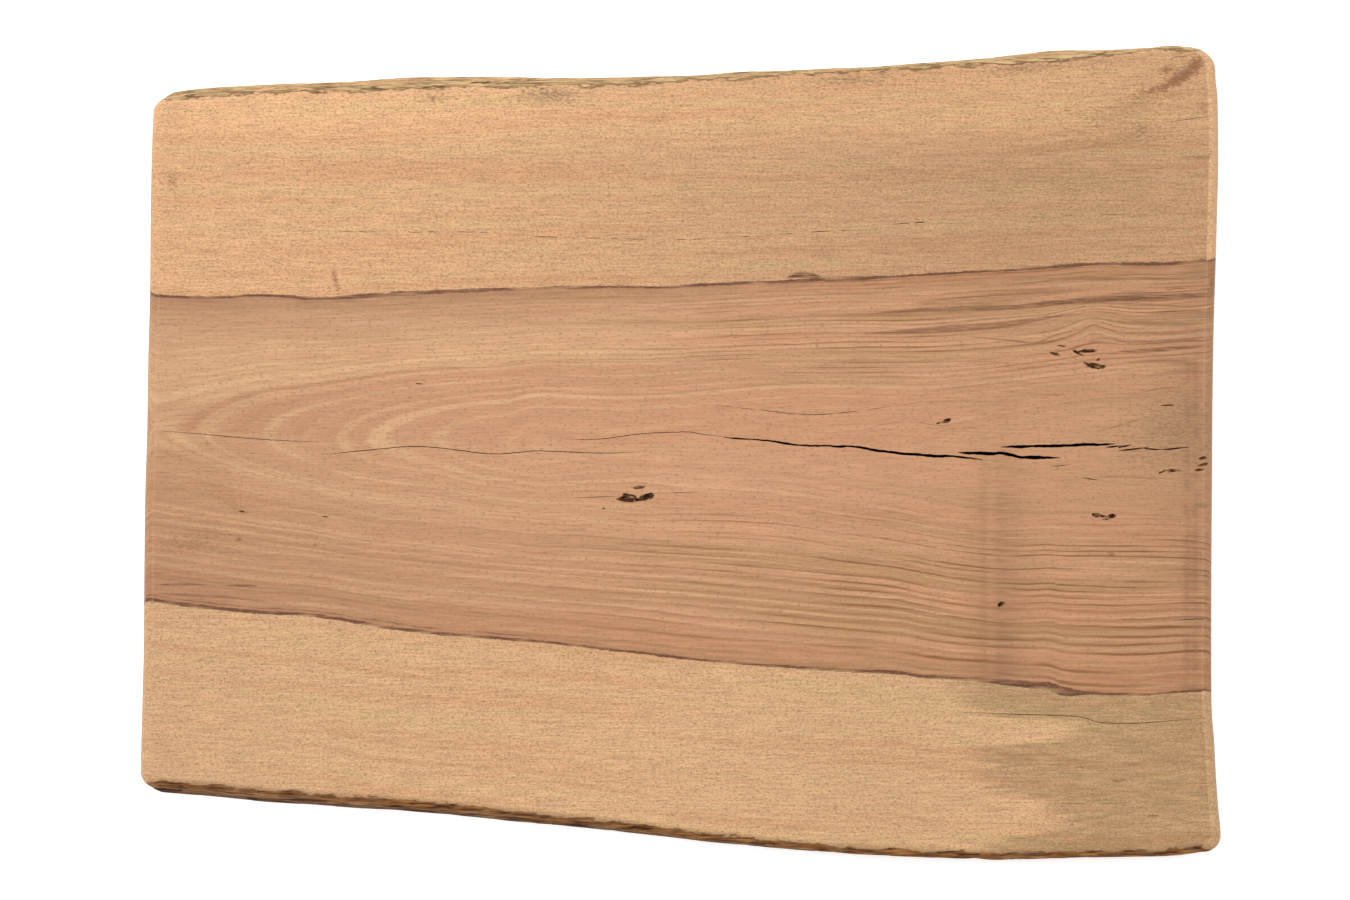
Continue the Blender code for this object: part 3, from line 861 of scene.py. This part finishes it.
# Soft bands along the rings, some pinker and some more olive
bands = add("TexNoise", along_rings(520, 13, 3.3), 1.0, 2.0, 0.6, noise_dimensions="2D")
outward = add("MapRange", radius, 0.3, 0.7, 0.4, 1.0)
outward = add("Math", outward, add("MapRange", old_wood, 0, 1, 0.45, 1.0), operation="MULTIPLY")
pinker = add("Math", add("MapRange", bands, 0.5, 0.62, 0.0, 0.55), outward, operation="MULTIPLY")
olive = add("Math", add("MapRange", bands, 0.5, 0.36, 0.0, 0.6), outward, operation="MULTIPLY")
heart = add("Mix", pinker, HEARTWOOD, linear("#D39A74"), data_type="RGBA")
heart = add("Mix", olive, heart, linear("#B99265"), data_type="RGBA")
steady = add("MapRange", fading, 0.36, 0.55, 0.65, 1.0)
pale = add("Math", drawn_rings, steady, operation="MULTIPLY", use_clamp=True)
pale = add("Math", pale, thin_pale, operation="MAXIMUM")
dark = add("Math", drawn_rings, -0.5, operation="MULTIPLY", use_clamp=True)
dark = add("Math", dark, thin_dark, operation="MAXIMUM")
heart = add("Mix", pale, heart, linear("#E0B68B"), data_type="RGBA")
heart = add("Mix", dark, heart, linear("#96683F"), data_type="RGBA")
upward = add("MapRange", y, -130, 130, 0.0, 1.0)
# Partly painted shade: the heartwood's tone along the plank
heart_tone_and_painted_shade = add("Mix", upward, heart_tone_lower, heart_tone_upper)
# At the plank's left, the upper heartwood grows darker towards its limit
young = add("Math", 1.0, old_wood, operation="SUBTRACT")
outer = add("MapRange", across_ring, 0.6, 0.95, 0.0, 0.15)
outer = add("Math", outer, is_upper, operation="MULTIPLY")
outer = add("Math", add("Math", outer, young, operation="MULTIPLY"), -1.0, 1.0,
            operation="MULTIPLY_ADD")
heart_tone_and_painted_shade = add("Math", heart_tone_and_painted_shade, outer, operation="MULTIPLY")
heart = add("Mix", 1.0, heart, heart_tone_and_painted_shade, data_type="RGBA", blend_type="MULTIPLY")

# Sapwood: soft bands along the live edge, some browner and some more yellow
sap_bands = add("CombineXYZ", add("Math", x, 1 / 520, side, operation="MULTIPLY_ADD"),
                add("Math", beyond, 1 / 14, operation="MULTIPLY"))
sap_bands = add("TexNoise", sap_bands, 1.0, 2.0, 0.55, noise_dimensions="2D")
sap = add("Mix", is_upper, SAPWOOD_LOWER, SAPWOOD_UPPER, data_type="RGBA")
sap = add("Mix", add("MapRange", sap_bands, 0.5, 0.7, 0.0, 0.5), sap, linear("#D6A174"),
          data_type="RGBA")
sap = add("Mix", add("MapRange", sap_bands, 0.5, 0.3, 0.0, 0.5), sap, linear("#DCBA86"),
          data_type="RGBA")
# Partly painted shade: the sapwood's tone along the plank
sap_tone_and_painted_shade = add("Mix", is_upper, sap_tone_lower, sap_tone_upper)
sap = add("Mix", 1.0, sap, sap_tone_and_painted_shade, data_type="RGBA", blend_type="MULTIPLY")

# The limit of the heartwood: a dark brown line, ragged, with a redder band inside it. Its width
# along the plank is given as X and millimetres, and the lower line runs double at the left.
LIMIT_UPPER = (
    (-600, 3.2), (-450, 3.2), (-330, 4.4), (-200, 3.0), (0, 2.8), (100, 3.6), (170, 4.2),
    (300, 2.6), (450, 3.4), (600, 3.4),
)
LIMIT_LOWER = (
    (-600, 4.0), (-400, 3.8), (-150, 3.0), (100, 3.0), (250, 3.6), (340, 4.4), (395, 7.2),
    (430, 8.0), (445, 4.4), (480, 2.8), (600, 3.0),
)
LIMIT_COLOUR = linear("#6B4330")
limit_width = add("Mix", is_upper, add("FloatCurve", None, x, stops=LIMIT_LOWER),
                  add("FloatCurve", None, x, stops=LIMIT_UPPER))
inside = add("Math", beyond, -1.0, operation="MULTIPLY")
limit_gaps = add("TexNoise", fibre(40, 6, 6.6), 1.0, 1.0, 0.6)
limit_gaps = add("MapRange", limit_gaps, 0.32, 0.55, 0.35, 1.0)
limit_core = add("Math", limit_width, add("Math", add("Math", inside, operation="ABSOLUTE"), 1.7,
                 operation="MULTIPLY"), operation="SUBTRACT")
limit_core = add("Math", limit_core, 1.1, operation="MULTIPLY", use_clamp=True)
limit_core = add("Math", limit_core, limit_gaps, operation="MULTIPLY")
second = add("Math", add("Math", inside, 5.2, operation="SUBTRACT"), operation="ABSOLUTE")
second = add("MapRange", second, 0.3, 1.0, 0.65, 0.0)
leftward = add("MapRange", x, -60, -200, 0.0, 1.0)
leftward = add("Math", leftward, add("Mix", is_upper, 1.0, 0.3), operation="MULTIPLY")
second = add("Math", add("Math", second, leftward, operation="MULTIPLY"), limit_gaps,
             operation="MULTIPLY")
redness = add("FloatCurve", None, inside, stops=(
    (-2, 0), (0.4, 0.55), (4, 0.4), (9, 0.24), (22, 0.12), (42, 0),
))
redness = add("Math", redness, limit_gaps, operation="MULTIPLY")
in_sap = add("MapRange", beyond, -0.4, 0.4, 0.0, 1.0)
body = add("Mix", in_sap, heart, sap, data_type="RGBA")
body = add("Mix", redness, body, linear("#A06E4C"), data_type="RGBA")
limit = add("Math", limit_core, second, operation="MAXIMUM")
limit = add("Math", limit, 0.92, operation="MULTIPLY")
body = add("Mix", limit, body, LIMIT_COLOUR, data_type="RGBA")

# Dark cross bands, where sap stood in the wood, and the grey-olive stain of damp at the lower
# right corner, whose left limit is ragged and has two clear bays
cross = add("FloatCurve", None, x, stops=(
    (290, 0), (328, 0.3), (336, 0.55), (342, 0.3), (352, 0.6), (364, 0.5), (385, 0.15), (410, 0),
))
cross = add("Math", cross, add("MapRange", y, 20, -60, 0.15, 0.6), operation="MULTIPLY")
last_cross = add("FloatCurve", None, ring_x, stops=(
    (545, 0), (556, 0.15), (560, 0.45), (564, 0.2), (569, 0.45), (574, 0.1), (588, 0), (598, 0.3),
))
broken = add("TexNoise", fibre(30, 18, 4.6), 1.0, 1.0)
last_cross = add("Math", last_cross, add("MapRange", broken, 0.36, 0.56, 0.2, 1.1),
                 operation="MULTIPLY")
last_cross = add("Math", last_cross, add("MapRange", y, 150, 90, 0.1, 1.0), operation="MULTIPLY")
cross = add("Math", add("Math", cross, last_cross, operation="ADD"),
            add("MapRange", streaks, 0.3, 0.7, 1.1, 0.75), operation="MULTIPLY")
in_heart = add("Math", 1.0, in_sap, operation="SUBTRACT")
cross = add("Math", cross, in_heart, operation="MULTIPLY")
body = add("Mix", cross, body, linear("#8C6248"), data_type="RGBA")
# Left limit of the damp, as Y and X in millimetres
DAMP_LIMIT = (
    (-450, 330), (-428, 345), (-420, 410), (-388, 400), (-378, 350), (-350, 325), (-326, 330),
    (-320, 420), (-300, 425), (-292, 330), (-262, 300),
)
damp_limit = add("FloatCurve", None, y, stops=DAMP_LIMIT)
damp = add("TexNoise", fibre(46, 5, 12.5), 1.0, 2.0, 0.6)
damp = add("Math", damp, 110.0, add("Math", x, damp_limit, operation="SUBTRACT"),
           operation="MULTIPLY_ADD")
damp = add("MapRange", damp, 40, 90, 0.0, 1.0)
is_lower_sap = add("Math", add("Math", 1.0, is_upper, operation="SUBTRACT"), in_sap,
                   operation="MULTIPLY")
patchy = add("TexNoise", fibre(26, 5, 15.5), 1.0, 2.0, 0.65)
patchy = add("MapRange", patchy, 0.3, 0.7, 0.5, 1.25)
damp = add("Math", add("Math", damp, is_lower_sap, operation="MULTIPLY"), patchy,
           operation="MULTIPLY")
body = add("Mix", damp, body, linear("#D5D7D1"), data_type="RGBA", blend_type="MULTIPLY")

# Single dark lines in the grain: greatest width in millimetres, how dark, and X and Y along it
GRAIN_LINES = (
    (4.0, 0.8, ((352, 157.7), (392, 163.0), (438, 166.0), (468, 168.0), (520, 171.0),
                (590, 171.5))),
    (6.0, 0.4, ((425, 168), (468, 171), (500, 174), (545, 172), (592, 175))),
    (4.4, 0.6, ((198, 130), (245, 132.5), (304, 137), (350, 139.5), (420, 150), (450, 152))),
    (3.4, 0.6, ((198, 151), (245, 155), (290, 157.6), (350, 159.0), (383, 160.4), (443, 165))),
    (8.0, 0.35, ((250, 164), (330, 168), (400, 176), (460, 179))),
    (2.0, 0.55, ((309, 128.3), (365, 122.8), (395, 121.1), (412, 127.8), (437, 134.4), (459, 140),
                 (471, 141.6))),
    (1.8, 0.55, ((454, 118.9), (465, 125), (474, 125), (493, 120), (538, 121.5), (586, 123.7))),
    (4.4, 0.8, ((470, 105.4), (478, 109), (505, 111), (560, 115), (590, 117.3))),
    (4.4, 0.5, ((447, 119), (455, 124), (465, 125.5), (478, 124.5), (495, 121.5), (520, 121),
                (560, 124), (590, 128))),
    (4.0, 0.45, ((475, 130), (520, 130.5), (560, 132), (590, 136))),
    (6.0, 0.4, ((478, 147), (520, 142), (560, 141), (590, 143))),
    (6.0, 0.35, ((505, 152), (540, 154), (590, 155))),
    (5.0, 0.35, ((508, 81), (535, 86.5), (590, 88))),
    (7.0, 0.35, ((490, 97), (520, 100), (560, 98), (590, 99))),
    (1.8, 0.45, ((340, 184.5), (380, 186), (420, 190), (460, 191.5), (520, 191.5), (590, 190))),
    (1.6, 0.45, ((420, 161), (450, 163), (486, 164), (530, 162), (560, 161), (590, 163))),
    (1.6, 0.7, ((532, 178.5), (541, 179.5), (552, 180.5), (562, 179.5))),
    (2.2, 0.8, ((545, 172.8), (556, 174.2), (566, 173.5), (578, 174.8), (590, 174.5))),
    (1.6, 0.6, ((568, 191.5), (573, 191.2), (580, 192.6), (590, 192))),
    (1.8, 0.5, ((501, 63), (525, 68.6), (543, 70.5), (557, 69.6))),
    (1.6, 0.45, ((455, 22.7), (478, 26.4), (501, 33.7), (518, 35.6))),
    (2.2, 0.35, ((382, 63.2), (410, 62.5), (443, 65))),
    (2.4, 0.45, ((446, -30.4), (474, -27.7), (507, -28.7), (540, -31))),
    (1.2, 0.5, ((309, 27.3), (320, 26.6), (333, 24.9))),
    (1.3, 0.4, ((242, 51.3), (262, 54.0), (297, 55.9), (330, 57))),
    (1.3, 0.5, ((253, 36), (278, 29.3), (297, 28.2), (309, 27.3))),
    (1.6, 0.4, ((197.5, 9), (201, 19.1), (214, 27.3), (238, 32), (252, 33.7))),
    (1.6, 0.35, ((272.6, 6.3), (278.2, 17.3), (293, 23.8), (309, 25.6))),
    (7.0, 1.0, ((112, 190.6), (126, 194.4), (142, 194.8), (161, 191.2))),
    (3.0, 0.9, ((-583, -147.6), (-556, -147.0), (-522, -147.9))),
    (3.0, 0.9, ((-508, -148.6), (-488, -148.2), (-464, -148.8))),
    (3.0, 0.5, ((-584, -156), (-550, -158.5), (-500, -161.5), (-450, -168))),
    (1.0, 0.7, ((-455, 211.0), (-445, 208.4), (-435, 205.0))),
    (1.2, 0.8, ((418, 376.0), (427, 377.0), (435, 377.4))),
    (1.5, 0.4, ((416, 354.6), (436, 356), (462, 341), (474, 342.4))),
    (1.6, 0.8, ((534, 433.4), (541, 433.4), (546, 436.2), (560, 437.4), (566, 441.4))),
    (1.0, 0.4, ((350, 312.4), (390, 313.0), (424, 313.6))),
)
stroke = None
for width, strength, line in GRAIN_LINES:
    first, last = line[0][0], line[-1][0]
    tip = min((last - first) / 4, 25)
    path = add("FloatCurve", None, x, stops=line)
    taper = add("FloatCurve", None, x, stops=(
        (first, 0), (first + tip, width / 2), (last - tip, width / 2), (last, 0),
    ))
    away = add("Math", add("Math", y, path, operation="SUBTRACT"), operation="ABSOLUTE")
    near = add("Math", add("Math", taper, away, operation="SUBTRACT"), 2.6 * strength / width,
               operation="MULTIPLY", use_clamp=True)
    near = add("Math", near, strength, operation="MINIMUM")
    stroke = near if stroke is None else add("Math", stroke, near, operation="MAXIMUM")
patchy_line = add("TexNoise", fibre(16, 1.1, 21.1), 1.0, 1.0, 0.5)
stroke = add("Math", stroke, add("MapRange", patchy_line, 0.36, 0.56, 0.4, 1.0),
             operation="MULTIPLY")
body = add("Mix", stroke, body, linear("#6A4229"), data_type="RGBA")

# Stains: X, Y, reach along and across in millimetres, turn in degrees, and strength
RESIN = linear("#915F40")
DAMP = linear("#93795A")
MILDEW = linear("#AC8A5F")
STAINS = (
    (RESIN, (
        (572, 431, 18, 12, 55, 0.85), (558, 418, 24, 12, 36, 0.85), (541, 407, 30, 9, 26, 0.8),
        (515, 398, 34, 7, 14, 0.65), (538, 422, 15, 8, 10, 0.8), (553, 441, 12, 3.5, 3, 0.6),
        (477, -114, 7, 5, 0, 0.9), (442, -349, 9, 2.6, 5, 0.8), (484, -364, 22, 4, 4, 0.7),
        (433, -412, 7, 3, 22, 0.8), (522, -403, 9, 2.4, 0, 1.0), (-382, 190, 6, 20, 10, 0.75),
        (350, -98, 20, 2.4, 0, 0.5), (-563, 298, 9, 14, 0, 0.55), (97, 30, 5, 4, 0, 0.5),
        (-404, -104, 5, 2.5, 0, 0.8), (-489, -97, 6, 3.6, 0, 0.9), (-540, -100, 60, 20, 0, 0.4),
        (589, 188, 6, 22, 0, 0.7),
    )),
    (DAMP, (
        (-144, 394, 60, 16, 2, 0.7), (-270, 391, 36, 10, 0, 0.5), (190, 411, 76, 9, 2, 0.6),
        (558, 421, 12, 8, 36, 0.7), (510, 356, 13, 10, 0, 0.8), (577, -60, 13, 5, 0, 1.1),
        (375, 424, 66, 11, 4, 0.6), (450, 430, 60, 8, 4, 0.4), (548, 20, 80, 75, 0, 0.6),
    )),
    (MILDEW, (
        (480, 372, 80, 18, 4, 0.55), (495, 350, 90, 16, 0, 0.55), (574, 325, 30, 6, -4, 0.9),
        (577, 380, 8, 8, 0, 0.8), (430, 336, 140, 14, 2, 0.45), (400, 300, 260, 26, 0, 0.5),
        (520, 390, 60, 10, 10, 0.5), (480, 268, 200, 14, 0, 0.35), (450, -436, 150, 7, 1, 0.7),
        (560, -310, 34, 20, 0, 0.6), (330, -276, 50, 12, 0, 0.4),
    )),
)
blotchy = add("TexNoise", fibre(5, 2.2, 18.3), 1.0, 1.0, 0.7)
blotchy = add("MapRange", blotchy, 0.3, 0.7, -0.55, 0.55)
for colour, marks in STAINS:
    stain = blotchy
    for mark_x, mark_y, reach_x, reach_y, turned, strength in marks:
        near = spot(mark_x, mark_y, reach_x, reach_y, 20, turned)
        stain = add("Math", near, 1.6 * strength, stain, operation="MULTIPLY_ADD")
    stain = add("MapRange", stain, 0.2, 1.4, 0.0, 0.85)
    body = add("Mix", stain, body, colour, data_type="RGBA")

# The rounded ends are paler in the sapwood at the right, partly because they were sanded last and
# partly as a painted highlight. A faint painted highlight line marks where the rounding starts, and
# painted shade darkens the rounding towards the outline, where it turns from the light
rounded = add("Attribute", attribute_name="rounded").node.outputs["Fac"]
# Partly painted highlight: paler on the rounding, most at the right and in the sapwood
sanded_and_painted_highlight = add("FloatCurve", None, rounded, stops=((0, 0), (0.12, 0.8), (0.5, 0.7), (1, 0.3)))
sanded_and_painted_highlight = add("Math", sanded_and_painted_highlight, add("MapRange", x, 0, 560, 0.1, 1.0), operation="MULTIPLY")
sanded_and_painted_highlight = add("Math", sanded_and_painted_highlight, add("Mix", is_upper, 0.45, 1.0), operation="MULTIPLY")
sanded_and_painted_highlight = add("Math", sanded_and_painted_highlight, in_sap, operation="MULTIPLY")
body = add("Mix", sanded_and_painted_highlight, body, linear("#EBC093"), data_type="RGBA")
# Painted highlight: a faint pale line where the rounding starts
start = add("FloatCurve", None, rounded, stops=((0, 0), (0.06, 0.12), (0.12, 0), (0.6, 0)))
body = add("Mix", start, body, linear("#EBCBA6"), data_type="RGBA")
# Painted shade: darker down the rounding towards the outline
painted_outline_shade = add("MapRange", rounded, 0.55, 1.0, 0.0, 0.5)
body = add("Mix", painted_outline_shade, body, linear("#8A6440"), data_type="RGBA")

# The oil deepens every tone, and its own yellow takes some blue away
OIL = linear("#E6E0DB")
body = add("Mix", 1.0, body, OIL, data_type="RGBA", blend_type="MULTIPLY")

# Vessel lines: 3 to 9 mm long and about 0.3 mm wide, dense in the sapwood. Their pattern repeats
# every 2.6 mm along and 1.7 mm across, coarser than the real one, which would not show
vessels = add("TexNoise", fibre(2.6, 1.7, 0.4), 1.0, 1.0, 0.6)
grainy = add("MapRange", vessels, 0.3, 0.7, -1.0, 1.0)
pore = add("MapRange", vessels, 0.42, 0.3, 0.0, 1.0)
streak = add("MapRange", streaks, 0.3, 0.7, -1.0, 1.0)
shade = add("Math", grainy, add("Mix", in_sap, 0.015, 0.16), 1.0, operation="MULTIPLY_ADD")
shade = add("Math", streak, add("Mix", in_sap, 0.09, 0.13), shade, operation="MULTIPLY_ADD")
body = add("Mix", 1.0, body, shade, data_type="RGBA", blend_type="MULTIPLY")
pore_amount = add("Math", pore, add("Mix", in_sap, 0.0, 0.36), operation="MULTIPLY")
body = add("Mix", pore_amount, body, linear("#A8744B"), data_type="RGBA")

# The live edges: tan-brown inner bark, split by dark fissures. Along the lower edge the bark is
# browner, partly its own colour and partly painted shade, and painted shade darkens it most near
# the underside and softly on the rounding above it
live = add("Attribute", attribute_name="live").node.outputs["Fac"]
fissure = add("Attribute", attribute_name="fissure").node.outputs["Fac"]
peeled = add("Attribute", attribute_name="peeled").node.outputs["Fac"]
bark_grid = add("VectorMath", grid, (1 / 32, 1 / 3.2, 1 / 8), (7.9, 7.9, 7.9),
                operation="MULTIPLY_ADD")
bark_streaks = add("TexNoise", bark_grid, 1.0, 3.0, 0.65)
bark_upper = add("ValToRGB", bark_streaks, stops=(
    (0.3, linear("#6E5334")), (0.42, linear("#9C7E57")), (0.55, linear("#BC9C6F")),
    (0.7, linear("#D2B687")),
))
# Partly painted shade: the lower edge's bark colours are darker than the upper's, as that edge is
# in shade
bark_lower_with_painted_shade = add("ValToRGB", bark_streaks, stops=(
    (0.3, linear("#32180A")), (0.43, linear("#63391A")), (0.56, linear("#86572C")),
    (0.72, linear("#AB7A44")),
))
# Painted shade: darker towards the underside
painted_underside_shade = add("MapRange", z, 2, 24, 0.25, 1.0)
bark_lower_with_painted_shade = add("Mix", 1.0, bark_lower_with_painted_shade, painted_underside_shade, data_type="RGBA", blend_type="MULTIPLY")
high = add("Math", y, 0.0, operation="GREATER_THAN")
bark = add("Mix", high, bark_lower_with_painted_shade, bark_upper, data_type="RGBA")
bark = add("Mix", add("Math", peeled, 0.4, operation="MULTIPLY"), bark, body, data_type="RGBA")
split_grid = add("VectorMath", grid, (1 / 60, 1 / 7, 1 / 8), (13.7, 13.7, 13.7),
                 operation="MULTIPLY_ADD")
splits_noise = add("TexNoise", split_grid, 1.0, 2.0, 0.6)
bark_split = add("Math", add("Math", splits_noise, 0.5, operation="SUBTRACT"),
                 operation="ABSOLUTE")
bark_split = add("MapRange", bark_split, 0.014, 0.036, 0.85, 0.0)
bark_split = add("Math", bark_split, add("MapRange", bark_streaks, 0.56, 0.46, 0.0, 1.0),
                 operation="MULTIPLY")
calmer = add("MapRange", z, 10, 34, 0.35, 1.0)
bark_split = add("Math", bark_split, calmer, operation="MULTIPLY")
in_fissure = add("MapRange", fissure, 0.15, 0.6, 0.0, 0.85)
in_fissure = add("Math", in_fissure, calmer, operation="MULTIPLY")
in_split = add("Mix", high, linear("#2E1A0D"), linear("#4A331E"), data_type="RGBA")
bark = add("Mix", bark_split, bark, in_split, data_type="RGBA")
bark = add("Mix", in_fissure, bark, in_split, data_type="RGBA")
rough_rim = add("TexNoise", fibre(22, 6, 2.2), 1.0, 2.0, 0.6)
low_side = add("Math", y, 0.0, operation="LESS_THAN")
narrow = add("MapRange", low_side, 0.0, 1.0, 0.38, 0.26)
rim = add("Math", rough_rim, 0.9, add("Math", live, narrow, operation="SUBTRACT"),
          operation="MULTIPLY_ADD")
rim = add("MapRange", rim, 0.5, 0.66, 0.0, 1.0)
# Painted shade: a soft brown over the lower edge's rounding, where it turns from the light
painted_rim_shade = add("MapRange", live, 0.0, 0.5, 0.0, 0.7)
painted_rim_shade = add("Math", painted_rim_shade, low_side, operation="MULTIPLY")
body = add("Mix", painted_rim_shade, body, linear("#7A5632"), data_type="RGBA")
body = add("Mix", rim, body, bark, data_type="RGBA")
bark_line = add("Math", add("Math", rim, add("Math", 1.0, rim, operation="SUBTRACT"),
                operation="MULTIPLY"), 2.6, operation="MULTIPLY")
body = add("Mix", bark_line, body, linear("#5A3D24"), data_type="RGBA")

# Only the vessel lines stand in relief, and only in the sapwood, because the heartwood is smooth
relief = add("Math", pore, -0.7, add("Math", grainy, 0.3, operation="MULTIPLY"),
             operation="MULTIPLY_ADD")
bump = add("Bump", 0.12, 0.0004, None, relief)
flat = add("NewGeometry").node.outputs["Normal"]
normal = add("Mix", in_sap, flat, bump, data_type="VECTOR")
roughness = add("MapRange", rim, 0.0, 1.0, 0.5, 0.9)
shader = add("BsdfPrincipled", body, sockets={
    "Roughness": roughness, "Normal": normal, "IOR": 1.5, "Specular IOR Level": 0.2,
})
add("OutputMaterial", shader)
tabletop.data.materials[0] = wood

# The studio: white paper far larger than the plank, which lies flat on it, soft light from all
# round, and one large soft lamp above, beyond the plank's upper edge and to its left.
PAPER_SIZE = 24
PAPER_GLOW = 0.45
SKY_STRENGTH = 0.62
LAMP_STRENGTH = 2.1
LAMP_SPREAD = math.radians(50)
LAMP_AIM = (0.32, -0.5, -1)
bpy.ops.object.select_all(action="DESELECT")
bpy.ops.mesh.primitive_plane_add(size=PAPER_SIZE, location=(0, 0, 0))
floor = bpy.context.object
floor.name = "studio_floor"
paper = bpy.data.materials.new("white_studio_paper")
paper.use_nodes = True
tree = paper.node_tree
tree.nodes.clear()
shader = add("BsdfPrincipled", linear("#F7F7F7"), sockets={
    "Roughness": 0.9, "Emission Color": linear("#FFFFFF"), "Emission Strength": PAPER_GLOW,
})
add("OutputMaterial", shader)
floor.data.materials.append(paper)

world = bpy.data.worlds.new("soft_studio")
bpy.context.scene.world = world
world.use_nodes = True
world.node_tree.nodes["Background"].inputs["Color"].default_value = (1, 1, 1, 1)
world.node_tree.nodes["Background"].inputs["Strength"].default_value = SKY_STRENGTH

bpy.ops.object.light_add(type="SUN", location=(-1, 2, 3))
lamp = bpy.context.object
lamp.name = "soft_lamp"
lamp.data.energy = LAMP_STRENGTH
lamp.data.angle = LAMP_SPREAD
lamp.rotation_euler = Vector(LAMP_AIM).to_track_quat("-Z", "Y").to_euler()

# The camera looks straight down on the top, a little left of its middle
CAMERA_HEIGHT = 3.0
VIEW_MIDDLE = (-0.0064, 0.00166)
VIEW_WIDTH = 1.4935
SENSOR = 36
bpy.ops.object.camera_add(location=(*VIEW_MIDDLE, THICKNESS + CAMERA_HEIGHT), rotation=(0, 0, 0))
camera = bpy.context.object
camera.name = "camera"
camera.data.sensor_width = SENSOR
camera.data.lens = SENSOR * CAMERA_HEIGHT / VIEW_WIDTH
bpy.context.scene.camera = camera
bpy.context.scene.view_settings.view_transform = "Standard"
